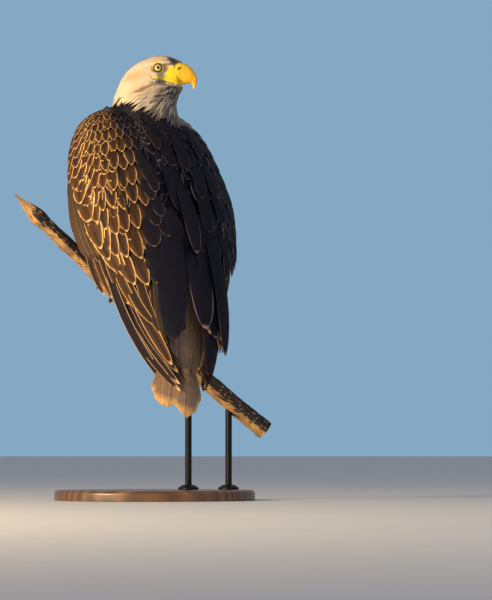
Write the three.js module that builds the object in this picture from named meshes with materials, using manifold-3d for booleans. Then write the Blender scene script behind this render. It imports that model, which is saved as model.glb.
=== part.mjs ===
// A bald eagle perched on a cut length of sloping branch, life size, on a plain display stand.
// Millimetres, +Z up. The origin is the centre of the base's underside, and the bird's back faces -Y.
import * as THREE from "three";
import { mergeVertices } from "three/addons/utils/BufferGeometryUtils.js";
import Module from "manifold-3d";

const wasm = await Module();
wasm.setup();

// ---- driving dimensions ----

const GAP = 0.4; // clear space between two pieces that meet
const BODY_CENTRE = [-6, 0, 578]; // middle of the trunk
const BODY_YAW = 30; // degrees that the breast is turned from +Y towards -X
const BODY_PITCH = 23; // degrees that the back leans forward from upright
const EYE = [5, 25, 913]; // centre of the right eyeball
const HEAD_YAW = -4; // degrees that the bill is turned from +X, towards the back when negative
const EYE_RADIUS = 9.5;
const EYE_SPREAD = 60; // between the two eyeball centres

const WING_DROOP = { left: 0, right: 34 }; // how far the lower half of each folded wing hangs down
const SIDE = { left: -1, right: 1 };

const PERCH_RADII = [13.5, 20]; // at the broken end and at the sawn end
const FEET = { left: 0.41, right: 0.6 }; // shares of the perch's length where the feet grip
const BASE_SIZE = { width: 420, depth: 330, height: 22 };
const ROD_RADIUS = 7;
const RODS_AT = [0.7, 0.86]; // shares of the perch's length that the two rods hold
const BASE_BEVEL = 4;

const COLOURS = {
  white: 0xe9e2d2,
  brown: 0x33241a,
  flight: 0x1f1813,
  tail: 0xcfc4b4,
  bill: 0xf2b21c,
  foot: 0xe0a824,
  claw: 0x17140f,
  eye: 0xe9d67a,
  bark: 0x7a6148,
  stand: 0x24262a,
};

// ---- small tools ----

const rad = THREE.MathUtils.degToRad;
const mix = THREE.MathUtils.lerp;
const clamp = THREE.MathUtils.clamp;
const smooth = THREE.MathUtils.smoothstep;
const point = (x, y, z) => new THREE.Vector3(x, y, z);

// Smooth values of a table of [key, value, value, ...] rows, whose keys rise, at one key.
function along(table, key) {
  const last = table.length - 1;
  let i = table.findIndex((row) => row[0] > key) - 1;
  if (i === -2) i = last - 1;
  i = clamp(i, 0, last - 1);
  const [a, b] = [table[i], table[i + 1]];
  const before = table[Math.max(i - 1, 0)];
  const after = table[Math.min(i + 2, last)];
  const t = clamp((key - a[0]) / (b[0] - a[0]), 0, 1);
  const span = b[0] - a[0];
  return a.slice(1).map((value, k) => {
    const slopeA = ((b[k + 1] - before[k + 1]) / (b[0] - before[0])) * span;
    const slopeB = ((after[k + 1] - value) / (after[0] - a[0])) * span;
    const [t2, t3] = [t * t, t * t * t];
    return (
      (2 * t3 - 3 * t2 + 1) * value +
      (t3 - 2 * t2 + t) * slopeA +
      (3 * t2 - 2 * t3) * b[k + 1] +
      (t3 - t2) * slopeB
    );
  });
}

// A geometry from points and triangles, with its faces turned outwards.
function closed(points, faces) {
  let volume = 0;
  for (const [a, b, c] of faces) {
    volume += points[a].dot(points[b].clone().cross(points[c]));
  }
  const outward = volume < 0 ? faces.map(([a, b, c]) => [a, c, b]) : faces;
  const geometry = new THREE.BufferGeometry();
  geometry.setFromPoints(points);
  geometry.setIndex(outward.flat());
  return geometry;
}

// A closed surface through rings that hold the same number of points, with a flat end on each.
function loft(rings) {
  const count = rings[0].length;
  const points = rings.flat();
  const faces = [];
  for (let r = 0; r + 1 < rings.length; r++) {
    for (let i = 0; i < count; i++) {
      const [a, b] = [r * count + i, r * count + ((i + 1) % count)];
      faces.push([a, b, a + count], [b, b + count, a + count]);
    }
  }
  for (const [start, flip] of [[0, true], [(rings.length - 1) * count, false]]) {
    const centre = points.length;
    const middle = point(0, 0, 0);
    for (let i = 0; i < count; i++) middle.add(points[start + i]);
    points.push(middle.divideScalar(count));
    for (let i = 0; i < count; i++) {
      const [a, b] = [start + i, start + ((i + 1) % count)];
      faces.push(flip ? [b, a, centre] : [a, b, centre]);
    }
  }
  return closed(points, faces);
}

// A closed sheet between two surfaces, each a function of two shares from 0 to 1.
function slab(across, down, upper, lower) {
  const points = [];
  const faces = [];
  const at = (side, i, j) => side * (across + 1) * (down + 1) + j * (across + 1) + i;
  for (const surface of [upper, lower]) {
    for (let j = 0; j <= down; j++) {
      for (let i = 0; i <= across; i++) points.push(surface(i / across, j / down));
    }
  }
  const quad = (a, b, c, d) => faces.push([a, b, c], [a, c, d]);
  for (let j = 0; j < down; j++) {
    for (let i = 0; i < across; i++) {
      quad(at(0, i, j), at(0, i + 1, j), at(0, i + 1, j + 1), at(0, i, j + 1));
      quad(at(1, i, j), at(1, i, j + 1), at(1, i + 1, j + 1), at(1, i + 1, j));
    }
  }
  for (let i = 0; i < across; i++) {
    quad(at(0, i + 1, 0), at(0, i, 0), at(1, i, 0), at(1, i + 1, 0));
    quad(at(0, i, down), at(0, i + 1, down), at(1, i + 1, down), at(1, i, down));
  }
  for (let j = 0; j < down; j++) {
    quad(at(0, 0, j), at(0, 0, j + 1), at(1, 0, j + 1), at(1, 0, j));
    quad(at(0, across, j + 1), at(0, across, j), at(1, across, j), at(1, across, j + 1));
  }
  return closed(points, faces);
}

// A round tube through points, with a radius for each, and its ends drawn in.
function tube(path, radii, sides) {
  const curve = new THREE.CatmullRomCurve3(path);
  const steps = radii.length - 1;
  const frames = curve.computeFrenetFrames(steps, false);
  const rings = radii.map((radius, k) => {
    const centre = curve.getPointAt(k / steps);
    return Array.from({ length: sides }, (_, i) => {
      const turn = (2 * Math.PI * i) / sides;
      return centre
        .clone()
        .addScaledVector(frames.normals[k], radius * Math.cos(turn))
        .addScaledVector(frames.binormals[k], radius * Math.sin(turn));
    });
  });
  return loft(rings);
}

// ---- solids, for cutting and joining ----

function solid(geometry) {
  const bare = geometry.index ? geometry.clone() : geometry;
  bare.deleteAttribute("normal");
  bare.deleteAttribute("uv");
  const merged = mergeVertices(bare, 1e-3);
  return new wasm.Manifold(
    new wasm.Mesh({
      numProp: 3,
      vertProperties: new Float32Array(merged.attributes.position.array),
      triVerts: new Uint32Array(merged.index.array),
    }),
  );
}

function geometryOf(shape) {
  const mesh = shape.getMesh();
  const geometry = new THREE.BufferGeometry();
  const stride = mesh.numProp;
  const positions = new Float32Array(mesh.numVert * 3);
  for (let i = 0; i < mesh.numVert; i++) {
    positions.set(mesh.vertProperties.subarray(i * stride, i * stride + 3), i * 3);
  }
  geometry.setAttribute("position", new THREE.BufferAttribute(positions, 3));
  geometry.setIndex(new THREE.BufferAttribute(new Uint32Array(mesh.triVerts), 1));
  return geometry;
}

// The solid with every face moved outwards by a little, as a cutter that leaves a gap.
function grown(shape, by = GAP) {
  const geometry = geometryOf(shape);
  const { position } = geometry.attributes;
  const corner = (i) => new THREE.Vector3().fromBufferAttribute(position, i);
  const facing = Array.from({ length: position.count }, () => []);
  const index = geometry.index.array;
  for (let i = 0; i < index.length; i += 3) {
    const [a, b, c] = [corner(index[i]), corner(index[i + 1]), corner(index[i + 2])];
    const normal = b.sub(a).cross(c.sub(a)).normalize();
    for (const k of [0, 1, 2]) {
      const known = facing[index[i + k]];
      if (!known.some((other) => other.dot(normal) > 0.999)) known.push(normal);
    }
  }
  facing.forEach((normals, i) => {
    const mean = normals.reduce((sum, normal) => sum.add(normal), point(0, 0, 0)).normalize();
    const least = Math.min(...normals.map((normal) => normal.dot(mean)));
    const moved = corner(i).addScaledVector(mean, by / Math.max(least, 0.35));
    position.setXYZ(i, moved.x, moved.y, moved.z);
  });
  return solid(geometry);
}

// The largest single body of a shape.
function largest(shape) {
  return shape.decompose().reduce((a, b) => (a.volume() > b.volume() ? a : b));
}

const joined = (shapes) => shapes.reduce((a, b) => a.add(b));
const cutBy = (shape, others) => largest(others.reduce((a, b) => a.subtract(grown(b)), shape));

// ---- the body's own frame: x to the bird's right, y towards its breast, z up its back ----

const bodyFrame = new THREE.Matrix4()
  .makeTranslation(...BODY_CENTRE)
  .multiply(new THREE.Matrix4().makeRotationZ(rad(BODY_YAW)))
  .multiply(new THREE.Matrix4().makeRotationX(rad(-BODY_PITCH)));
const inBody = (geometry) => geometry.applyMatrix4(bodyFrame);
const bodyPoint = (x, y, z) => point(x, y, z).applyMatrix4(bodyFrame);

// Rows of [height, half width, reach of the back, reach of the front].
const TRUNK = [
  [-316, 24, 44, -22],
  [-290, 36, 50, -16],
  [-240, 52, 58, -6],
  [-180, 72, 68, 16],
  [-120, 96, 82, 48],
  [-50, 124, 96, 84],
  [30, 146, 108, 112],
  [110, 148, 110, 122],
  [170, 136, 104, 114],
  [212, 120, 94, 100],
  [244, 104, 84, 84],
  [264, 86, 72, 70],
  [280, 58, 52, 50],
];
const FOLD = [
  [-430, 40, 66, 0],
  [-380, 62, 74, 6],
  [-320, 88, 82, 18],
  [-250, 110, 90, 36],
  [-163, 128, 98, 62],
  [-124, 148, 104, 76],
  [-58, 169, 112, 94],
  [22, 177, 118, 108],
  [102, 164, 114, 110],
  [171, 150, 100, 100],
  [205, 138, 84, 88],
  [232, 122, 66, 70],
  [252, 98, 46, 50],
  [266, 68, 30, 34],
];
const SQUARENESS = 0.88; // under 1 gives fuller corners than an ellipse

// A point of a body section at an angle in degrees from the middle of the back, positive to the right.
function around(table, angle, height, inset = 0) {
  const [width, back, front] = along(table, height);
  const [s, c] = [Math.sin(rad(angle)), Math.cos(rad(angle))];
  const full = (v) => Math.sign(v) * Math.abs(v) ** SQUARENESS;
  const reach = c > 0 ? back : front;
  const x = full(s) * (width - inset);
  const y = -full(c) * Math.max(reach - inset, -60);
  return point(x, front < 0 && c < 0 ? -c * reach : y, height);
}

// ---- folded wings, laid on the form of the fold ----

const LEADING_ANGLE = 112; // where the folded wing's front edge lies round the body
const INNER_ANGLE = 34; // where the coverts meet the feathers of the shoulder blade
const WING_TOP = 262;
const COVERT_DEPTH = { top: 26, bottom: 12 };

// A point of the fold on one side, with that wing's own droop.
function fold(name, angle, height, inset) {
  const droop = WING_DROOP[name] * smooth(-height, 60, 240);
  const p = around(FOLD, SIDE[name] * angle, height + droop, inset);
  return point(p.x, p.y, height);
}

// Height of the lowest wing coverts, from the wing's front edge (0) to its inner edge (1).
const covertsEnd = (share) => mix(-52, -168, share ** 0.8);

// The coverts of one wing: share runs from the front edge to the inner edge, drop from the top down.
function wing(name) {
  const place = (share, drop, inset) => {
    const angle = mix(LEADING_ANGLE, INNER_ANGLE, share);
    const height = mix(WING_TOP, covertsEnd(share), drop);
    return fold(name, angle, height, inset).applyMatrix4(bodyFrame);
  };
  const proud = (share) => 5 * Math.sin(Math.PI * clamp(share, 0, 1)) ** 0.5;
  return solid(
    slab(
      7,
      8,
      (i, j) => place(i, j, -proud(i)),
      (i, j) => place(i, j, mix(COVERT_DEPTH.top, COVERT_DEPTH.bottom, j)),
    ),
  );
}

// A row of overlapping feathers as one stepped sheet. `place(share, down, inset)` gives a point of it,
// and `scallop` is the share of its length that a feather's edges lose to its round tip.
function fan({ count, rows, place, scallop, step = 1.6, thick = 2.6 }) {
  const columns = [0.02, 0.5, 0.98];
  const across = count * columns.length - 1;
  const surface = (depth) => (i, j) => {
    const column = Math.round(i * across);
    const feather = Math.floor(column / columns.length);
    const a = columns[column % columns.length];
    const shortened = 1 - scallop * Math.abs(2 * a - 1) ** 2.4 * j ** 2;
    return place((feather + a) / count, j * shortened, depth + step * (a - 0.5));
  };
  return solid(slab(across, rows, surface(0), surface(thick)));
}

const SECONDARIES = 10;
const PRIMARIES = 6;
const TERTIALS = 3;

// Heights of the outermost and innermost secondary tips, and angles of the same primary tips.
const SECONDARY_TIPS = { left: [-164, -318], right: [-286, -318] };
const PRIMARY_TIPS = { left: [35, 20], right: [9, -2] };

// In each row of feathers a share of 0 is the outermost feather.
function secondaries(name) {
  return fan({
    count: SECONDARIES,
    rows: 2,
    scallop: 0.08,
    place: (share, down, inset) => {
      const angle = mix(mix(LEADING_ANGLE - 4, INNER_ANGLE + 1, share), mix(102, 30, share), down);
      const across = clamp((LEADING_ANGLE - angle) / (LEADING_ANGLE - INNER_ANGLE), 0, 1);
      const [outer, inner] = SECONDARY_TIPS[name];
      const height = mix(covertsEnd(across) - 1.5, mix(outer, inner, share ** 0.9), down);
      return fold(name, angle, height, inset + 4).applyMatrix4(bodyFrame);
    },
  });
}

function primaries(name) {
  return fan({
    count: PRIMARIES,
    rows: 5,
    scallop: 0.08,
    place: (share, down, inset) => {
      const [outer, inner] = PRIMARY_TIPS[name];
      const angle = mix(mix(104, 72, share), mix(outer, inner, share), down ** 2.4);
      const height = mix(-76, mix(-408, -364, share), down);
      return fold(name, angle, height, inset + mix(16, 8, down)).applyMatrix4(bodyFrame);
    },
  });
}

function tertials(name) {
  return fan({
    count: TERTIALS,
    rows: 3,
    scallop: 0.13,
    step: 3,
    thick: 3,
    place: (share, down, inset) => {
      const angle = mix(mix(31, 8, share), mix(43, 9, share), smooth(down, 0.3, 1));
      const height = mix(-78, mix(-318, -286, share), down);
      const raised = mix(9, -5, smooth(down, 0, 0.4));
      return fold(name, angle, height, inset + raised).applyMatrix4(bodyFrame);
    },
  });
}

// The trunk keeps inside the coverts, with a shelf for each wing to lie on.
function trunk() {
  const count = 24;
  const heights = [-300, -284, -262, -220, -170, -120, -70, -20, 30, 80, 125, 170, 210, 240, 264, 280];
  const rings = heights.map((height) =>
    Array.from({ length: count }, (_, i) => {
      const angle = (360 * i) / count;
      const turned = Math.min(angle, 360 - angle);
      const own = around(TRUNK, angle, height);
      const name = angle < 180 ? "right" : "left";
      const drop = clamp((WING_TOP - height) / 314, 0, 1);
      const depth = mix(COVERT_DEPTH.top, COVERT_DEPTH.bottom, drop) + 4.5;
      const under = fold(name, turned, height, depth);
      const covered = turned > INNER_ANGLE - 8 && turned < LEADING_ANGLE + 16;
      const inside = Math.hypot(under.x, under.y) < Math.hypot(own.x, own.y);
      return covered && inside ? under : own;
    }),
  );
  return solid(inBody(loft(rings)));
}

// ---- tail: twelve feathers fanned a little from under the rump ----

const TAIL = { root: [-9, -28, -301], length: 146, width: [80, 114], turn: -15, cup: 6 };

function tail() {
  return fan({
    count: 12,
    rows: 2,
    scallop: 0.06,
    step: 0,
    thick: 4,
    place: (share, down, inset) => {
      const side = 2 * share - 1;
      const turn = rad(TAIL.turn);
      const half = mix(TAIL.width[0], TAIL.width[1], smooth(down, -0.4, 0.7)) / 2;
      const length = (TAIL.length - 6 * side * side) * down;
      const x = TAIL.root[0] + side * half * Math.cos(turn) + Math.sin(turn) * length;
      const lean = Math.sin(turn) * side * half * smooth(down, 0, 0.6);
      const z = TAIL.root[2] - Math.cos(turn) * length + lean;
      const y = TAIL.root[1] + inset + (side * half) ** 2 / 500 - TAIL.cup * down;
      return bodyPoint(x, y, z);
    },
  });
}

// ---- head and neck, in a frame of their own: x along the bill, y to its left, z up ----

const headFrame = new THREE.Matrix4()
  .makeTranslation(...EYE)
  .multiply(new THREE.Matrix4().makeRotationZ(rad(HEAD_YAW)));
const MIDLINE = EYE_SPREAD / 2; // the head's middle, left of the right eye
const headPoint = (x, y, z) => point(x, y + MIDLINE, z).applyMatrix4(headFrame);

// Rows of [share down the neck, upper x, upper z, lower x, lower z, half width] of the rings.
const HEAD_RINGS = [
  [0.0, 38, 10, 42, -42, 14],
  [0.05, 36, 17, 44, -47, 18],
  [0.12, 30, 25, 43, -53, 24],
  [0.24, 17, 31, 40, -60, 31],
  [0.36, 0, 32, 37, -68, 37],
  [0.5, -20, 28, 36, -77, 42],
  [0.64, -44, 18, 37, -87, 47],
  [0.76, -65, 3, 40, -98, 52],
  [0.88, -82, -18, 44, -110, 58],
  [1.0, -93, -43, 49, -124, 64],
  [1.2, -98, -73, 54, -140, 70],
  [1.5, -96, -108, 60, -164, 74],
  [1.8, -82, -142, 50, -194, 68],
];

// Rings across the head's frame from rows of such a table, between two of its shares.
function headRings(table, from, to, steps, sides) {
  return Array.from({ length: steps + 1 }, (_, k) => {
    const [topX, topZ, lowX, lowZ, half] = along(table, mix(from, to, k / steps));
    const middle = [(topX + lowX) / 2, (topZ + lowZ) / 2];
    const reach = [(topX - lowX) / 2, (topZ - lowZ) / 2];
    return Array.from({ length: sides }, (_, i) => {
      const turn = (2 * Math.PI * i) / sides;
      const up = Math.cos(turn);
      const out = Math.sign(Math.sin(turn)) * Math.abs(Math.sin(turn)) ** 0.92;
      return headPoint(middle[0] + reach[0] * up, out * half, middle[1] + reach[1] * up);
    });
  });
}

// The plumage of head and neck is one form, parted by a slanting plane below the cheeks.
const PART_THROUGH = { nape: [-86, -28], throat: [45, -117] };

function headAndNeck() {
  const whole = solid(loft(headRings(HEAD_RINGS, 0, 1.8, 14, 16)));
  const { nape, throat } = PART_THROUGH;
  const origin = headPoint(nape[0], 0, nape[1]);
  const downwards = headPoint(throat[0], 0, throat[1]).sub(origin);
  const sideways = headPoint(nape[0], 10, nape[1]).sub(origin);
  const up = downwards.cross(sideways).normalize();
  const level = up.dot(origin);
  return {
    whole,
    head: whole.trimByPlane(up.toArray(), level + GAP / 2),
    neck: whole.trimByPlane(up.clone().negate().toArray(), GAP / 2 - level),
  };
}

// The same kind of rows for the two halves of the bill, the hook included.
const UPPER_BILL = [
  [0, 30, 13, 30, -28, 12.6],
  [1, 38, 13, 38, -29, 13],
  [2, 47, 12.5, 47, -30, 12.6],
  [3, 57, 10.5, 55, -30.5, 11.6],
  [4, 66, 5.5, 61, -30.5, 10],
  [5, 73, -2, 65, -30.2, 8],
  [6, 77.5, -10.5, 67.5, -30.4, 6.2],
  [7, 80, -20.5, 69, -31.5, 4.6],
  [8, 78.5, -32, 70.5, -35, 2.8],
  [9, 73.5, -44, 72, -43.4, 0.7],
];
const LOWER_BILL = [
  [0, 30, -28.6, 30, -42, 10],
  [1, 40, -29.6, 40, -44.5, 9.6],
  [2, 48, -31.1, 48, -44.5, 8],
  [3, 54, -31.1, 53, -40.5, 5.6],
  [4, 58, -31.2, 57.5, -35, 3],
];

const billHalf = (table) => solid(loft(headRings(table, 0, table.length - 1, table.length - 1, 10)));

function eyeball(name) {
  const geometry = new THREE.SphereGeometry(EYE_RADIUS, 12, 8);
  geometry.applyMatrix4(new THREE.Matrix4().makeTranslation(0, name === "right" ? 0 : EYE_SPREAD, 0));
  return solid(geometry.applyMatrix4(headFrame));
}

// ---- perch ----

// The branch's centre line, from its broken end down to its sawn end.
const PERCH_PATH = new THREE.CatmullRomCurve3([
  point(-288, -60, 634),
  point(-246, -48, 594),
  point(-160, -22, 512),
  point(-62, 8, 416),
  point(48, 38, 308),
  point(140, 58, 222),
  point(232, 76, 146),
]);

// Knots as [share of the length, spread along it, how far they stand out].
const KNOTS = [
  [0.09, 0.02, 5],
  [0.2, 0.018, 3],
];
const BROKEN_OVER = 0.07; // share of the length over which the broken end narrows

function perch() {
  const [steps, sides] = [20, 10];
  const frames = PERCH_PATH.computeFrenetFrames(steps, false);
  const up = point(0, 0, 1);
  const rings = Array.from({ length: steps + 1 }, (_, k) => {
    const t = k / steps;
    const centre = PERCH_PATH.getPointAt(t);
    const forward = frames.tangents[k];
    const over = up.clone().addScaledVector(forward, -forward.z).normalize();
    const across = forward.clone().cross(over);
    const knot = KNOTS.reduce((sum, [at, spread, out]) => {
      return sum + out * Math.exp(-(((t - at) / spread) ** 2));
    }, 0);
    const broken = mix(0.18, 1, smooth(t, 0, BROKEN_OVER));
    return Array.from({ length: sides }, (_, i) => {
      const turn = (2 * Math.PI * i) / sides;
      const wobble = 1 + 0.05 * Math.sin(3 * turn + 9 * t) + 0.03 * Math.sin(5 * turn - 17 * t);
      const bump = knot * (0.5 + 0.5 * Math.cos(turn - 2));
      const radius = (mix(...PERCH_RADII, t) * wobble + bump) * broken;
      return centre
        .clone()
        .addScaledVector(over, radius * Math.cos(turn))
        .addScaledVector(across, radius * Math.sin(turn));
    });
  });
  return solid(loft(rings));
}

// ---- legs and feet ----

// The frame of a foot on the perch: along it, away from its top, and forward over it.
function gripFrame(name) {
  const t = FEET[name];
  const centre = PERCH_PATH.getPointAt(t);
  const run = PERCH_PATH.getTangentAt(t);
  const over = point(0, 0, 1).addScaledVector(run, -run.z).normalize();
  const forward = over.clone().cross(run).normalize();
  return { centre, run, over, forward, radius: mix(...PERCH_RADII, t) };
}

// Toes as [name, start along the perch, splay along it, degrees reached round it, thickness].
const TOES = [
  ["inner", -13, -22, 118, 8.6],
  ["middle", 0, 0, 138, 8.8],
  ["outer", 13, 20, 112, 7.8],
  ["hind", 0, 3, -112, 8.8],
];

// Points on a path that wraps round the perch, a clear distance off its bark.
function wrapped(name, [, start, splay, reach, thick], from, to, steps, lift) {
  const { centre, run, over, forward, radius } = gripFrame(name);
  const mirrored = -SIDE[name];
  return Array.from({ length: steps + 1 }, (_, k) => {
    const t = mix(from, to, k / steps);
    const turn = rad(reach * t);
    const off = radius * 1.08 + thick * lift(t);
    return centre
      .clone()
      .addScaledVector(run, mirrored * (start * Math.min(1, 0.4 + t) + splay * t))
      .addScaledVector(over, off * Math.cos(turn))
      .addScaledVector(forward, off * Math.sin(turn));
  });
}

function toe(name, row) {
  const path = wrapped(name, row, 0.02, 0.86, 6, (t) => 1.08 - 0.22 * t);
  const thick = row[4];
  return solid(tube(path, [0.8, 1, 0.92, 1, 0.86, 0.92, 0.66].map((k) => k * thick), 7));
}

function claw(name, row) {
  const start = 0.84;
  const lift = (t) => 0.86 - 0.95 * (t - start) + 1.3 * (t - start) ** 2;
  const path = wrapped(name, row, start, 1.34, 5, lift);
  const thick = row[4];
  return solid(tube(path, [0.62, 0.56, 0.42, 0.28, 0.16, 0.05].map((k) => k * thick), 6));
}

const HIPS = { left: [-58, 34, -70], right: [58, 34, -70] };
const ANKLE_AT = { left: 0.36, right: 0.42 }; // share of the way from the foot to the hip

function legPath(name) {
  const { centre, over, radius } = gripFrame(name);
  const sole = centre.clone().addScaledVector(over, radius + 16);
  const hip = bodyPoint(...HIPS[name]);
  const ankle = sole.clone().lerp(hip, ANKLE_AT[name]).add(point(0, -10, 0));
  return { sole, ankle, hip };
}

function thigh(name) {
  const { ankle, hip } = legPath(name);
  const path = [hip, hip.clone().lerp(ankle, 0.45).add(point(0, 10, 0)), ankle];
  return solid(tube(path, [40, 52, 50, 42, 31, 21, 14], 12));
}

function tarsus(name) {
  const { sole, ankle } = legPath(name);
  const path = [ankle.clone().lerp(sole, -0.1), ankle.clone().lerp(sole, 0.5), sole];
  return solid(tube(path, [10.5, 10, 9.6, 10.4, 12.6], 10));
}

// ---- display stand ----

function base() {
  const { width, depth, height } = BASE_SIZE;
  const outline = new THREE.Shape();
  outline.absellipse(0, 0, width / 2 - BASE_BEVEL, depth / 2 - BASE_BEVEL, 0, 2 * Math.PI);
  const geometry = new THREE.ExtrudeGeometry(outline, {
    depth: height - 2 * BASE_BEVEL,
    bevelSize: BASE_BEVEL,
    bevelThickness: BASE_BEVEL,
    bevelSegments: 1,
    curveSegments: 18,
  });
  return solid(geometry.translate(0, 0, BASE_BEVEL));
}

// Profile of a collar, as [radius, height] pairs from its axis.
const COLLAR = [
  [0, 0],
  [22, 0],
  [22, 4],
  [13, 10],
  [0, 10],
];
const COLLAR_HEIGHT = COLLAR[4][1];

function rod(share) {
  const top = PERCH_PATH.getPointAt(share);
  const bottom = BASE_SIZE.height + COLLAR_HEIGHT + GAP;
  const geometry = new THREE.CylinderGeometry(ROD_RADIUS, ROD_RADIUS, top.z - bottom, 16);
  geometry.rotateX(Math.PI / 2).translate(top.x, top.y, (top.z + bottom) / 2);
  return solid(geometry);
}

function collar(share) {
  const { x, y } = PERCH_PATH.getPointAt(share);
  const profile = COLLAR.map(([r, z]) => new THREE.Vector2(r, z));
  const geometry = new THREE.LatheGeometry(profile, 18).rotateX(Math.PI / 2);
  return solid(geometry.translate(x, y, BASE_SIZE.height + GAP / 2));
}

// ---- assembly ----

const eagle = new THREE.Group();

function add(name, shape, colour, roughness = 0.8, metalness = 0) {
  const material = new THREE.MeshStandardMaterial({ color: colour, roughness, metalness });
  const mesh = new THREE.Mesh(geometryOf(shape), material);
  mesh.name = name;
  eagle.add(mesh);
  return shape;
}

const sides = ["left", "right"];
const toes = { left: [], right: [] };
const claws = { left: [], right: [] };
for (const side of sides) {
  toes[side] = TOES.map((row) => toe(side, row));
  claws[side] = TOES.map((row) => cutBy(claw(side, row), toes[side]));
}
const grips = sides.flatMap((side) => [...toes[side], ...claws[side]]);
const perchShape = add("perch", cutBy(perch(), grips), COLOURS.bark);

const plumage = headAndNeck();
const upperBill = billHalf(UPPER_BILL);
const lowerBill = cutBy(billHalf(LOWER_BILL), [upperBill]);
add("bill_upper", cutBy(upperBill, [plumage.whole]), COLOURS.bill, 0.35);
add("bill_lower", cutBy(lowerBill, [plumage.whole]), COLOURS.bill, 0.4);
const eyes = sides.map((side) => add(`eye_${side}`, eyeball(side), COLOURS.eye, 0.1));
add("head", cutBy(plumage.head, eyes), COLOURS.white);
add("neck", plumage.neck, COLOURS.white);

const body = trunk();
add("trunk", cutBy(body, [plumage.whole]), COLOURS.brown);
add("tail", tail(), COLOURS.tail);
for (const side of sides) {
  add(`wing_${side}`, cutBy(wing(side), [plumage.whole, body]), COLOURS.brown);
  add(`tertials_${side}`, cutBy(tertials(side), [body]), COLOURS.flight);
  add(`secondaries_${side}`, secondaries(side), COLOURS.flight);
  add(`primaries_${side}`, primaries(side), COLOURS.flight);
  const leg = thigh(side);
  const shank = cutBy(tarsus(side), [body, leg, perchShape, ...toes[side]]);
  const feathered = cutBy(leg, [body, perchShape, ...toes[side], ...claws[side]]);
  add(`thigh_${side}`, feathered, COLOURS.brown);
  add(`tarsus_${side}`, shank, COLOURS.foot, 0.55);
  add(`foot_${side}`, joined(toes[side]), COLOURS.foot, 0.55);
  claws[side].forEach((shape, i) => add(`claw_${TOES[i][0]}_${side}`, shape, COLOURS.claw, 0.3));
}

add("stand_base", base(), COLOURS.stand, 0.45);
RODS_AT.forEach((share, i) => {
  const seat = add(`stand_collar_${i + 1}`, collar(share), COLOURS.stand, 0.35, 0.8);
  add(`stand_rod_${i + 1}`, cutBy(rod(share), [perchShape, seat]), COLOURS.stand, 0.35, 0.8);
});

export default eagle;
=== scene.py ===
import math

import bmesh
import bpy
import numpy as np
from mathutils import Matrix, Vector, noise
from mathutils.bvhtree import BVHTree
from mathutils.kdtree import KDTree


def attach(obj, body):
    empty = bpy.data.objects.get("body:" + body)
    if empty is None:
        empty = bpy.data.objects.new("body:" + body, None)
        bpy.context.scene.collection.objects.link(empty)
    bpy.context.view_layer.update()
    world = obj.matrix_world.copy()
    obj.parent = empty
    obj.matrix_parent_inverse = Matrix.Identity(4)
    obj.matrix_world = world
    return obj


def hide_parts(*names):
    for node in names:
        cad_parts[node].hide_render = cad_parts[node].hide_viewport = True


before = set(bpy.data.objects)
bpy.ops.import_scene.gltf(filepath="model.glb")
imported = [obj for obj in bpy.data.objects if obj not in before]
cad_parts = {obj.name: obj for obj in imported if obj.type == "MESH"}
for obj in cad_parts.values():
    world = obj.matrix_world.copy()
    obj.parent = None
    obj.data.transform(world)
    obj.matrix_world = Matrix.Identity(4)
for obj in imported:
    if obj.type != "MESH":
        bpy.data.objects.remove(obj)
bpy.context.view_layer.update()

# A perched bald eagle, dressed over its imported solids. Tables and keys are in millimetres and
# degrees, as a taxidermist would note them down, and every mesh is in metres.

mm = 0.001
rng = np.random.default_rng(23)


# the camera, the floor and the studio's light

studio = {
    "aim": (0.191, 0.0, 0.420), "distance": 6.0, "rise": 3.0, "lens": 171.43,
    "keyFrom": (-0.73, -0.67, 0.10), "keyColour": (1.0, 0.72, 0.40), "keyPower": 190.0,
    "fillFrom": (0.7, -0.7, 0.35), "fillColour": (0.72, 0.84, 1.0), "fillPower": 6.0,
    "sky": (0.235, 0.395, 0.55), "softLight": (0.30, 0.32, 0.37), "floor": (0.66, 0.68, 0.70),
    "floorHalf": 40, "keySize": 0.9, "fillSize": 3.0, "lampMiddle": 0.65, "lampReach": 3.4,
}


def setStudio():
    scene = bpy.context.scene
    aim = Vector(studio["aim"])
    rise = math.radians(studio["rise"])
    place = aim + studio["distance"] * Vector((0, -math.cos(rise), -math.sin(rise)))
    camera = bpy.data.objects.new("camera", bpy.data.cameras.new("camera"))
    scene.collection.objects.link(camera)
    camera.location = place
    camera.rotation_euler = (aim - place).to_track_quat("-Z", "Y").to_euler()
    camera.data.lens = studio["lens"]
    camera.data.clip_end = 200
    scene.camera = camera
    for name in ("key", "fill"):
        lamp = bpy.data.lights.new(name + "Light", "AREA")
        lamp.energy = studio[name + "Power"]
        lamp.color = studio[name + "Colour"]
        lamp.size = studio[name + "Size"]
        holder = bpy.data.objects.new(name + "Light", lamp)
        scene.collection.objects.link(holder)
        toward = Vector(studio[name + "From"]).normalized()
        holder.location = Vector((0, 0, studio["lampMiddle"])) + toward * studio["lampReach"]
        holder.rotation_euler = toward.to_track_quat("Z", "Y").to_euler()
    world = bpy.data.worlds.new("studioAir")
    world.use_nodes = True
    nodes, links = world.node_tree.nodes, world.node_tree.links
    air = nodes["Background"]
    seen = nodes.new("ShaderNodeLightPath")
    either = nodes.new("ShaderNodeMix")
    either.data_type = "RGBA"
    either.inputs[6].default_value = (*studio["softLight"], 1)
    either.inputs[7].default_value = (*studio["sky"], 1)
    links.new(seen.outputs["Is Camera Ray"], either.inputs[0])
    links.new(either.outputs[2], air.inputs["Color"])
    scene.world = world
    scene.view_settings.view_transform = "Standard"


setStudio()


# small tools for numbers

def rad(degrees):
    return np.radians(degrees)


def mix(a, b, t):
    return a + (b - a) * t


def smooth(x, low, high):
    t = np.clip((np.asarray(x, float) - low) / (high - low), 0, 1)
    return t * t * (3 - 2 * t)


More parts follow.
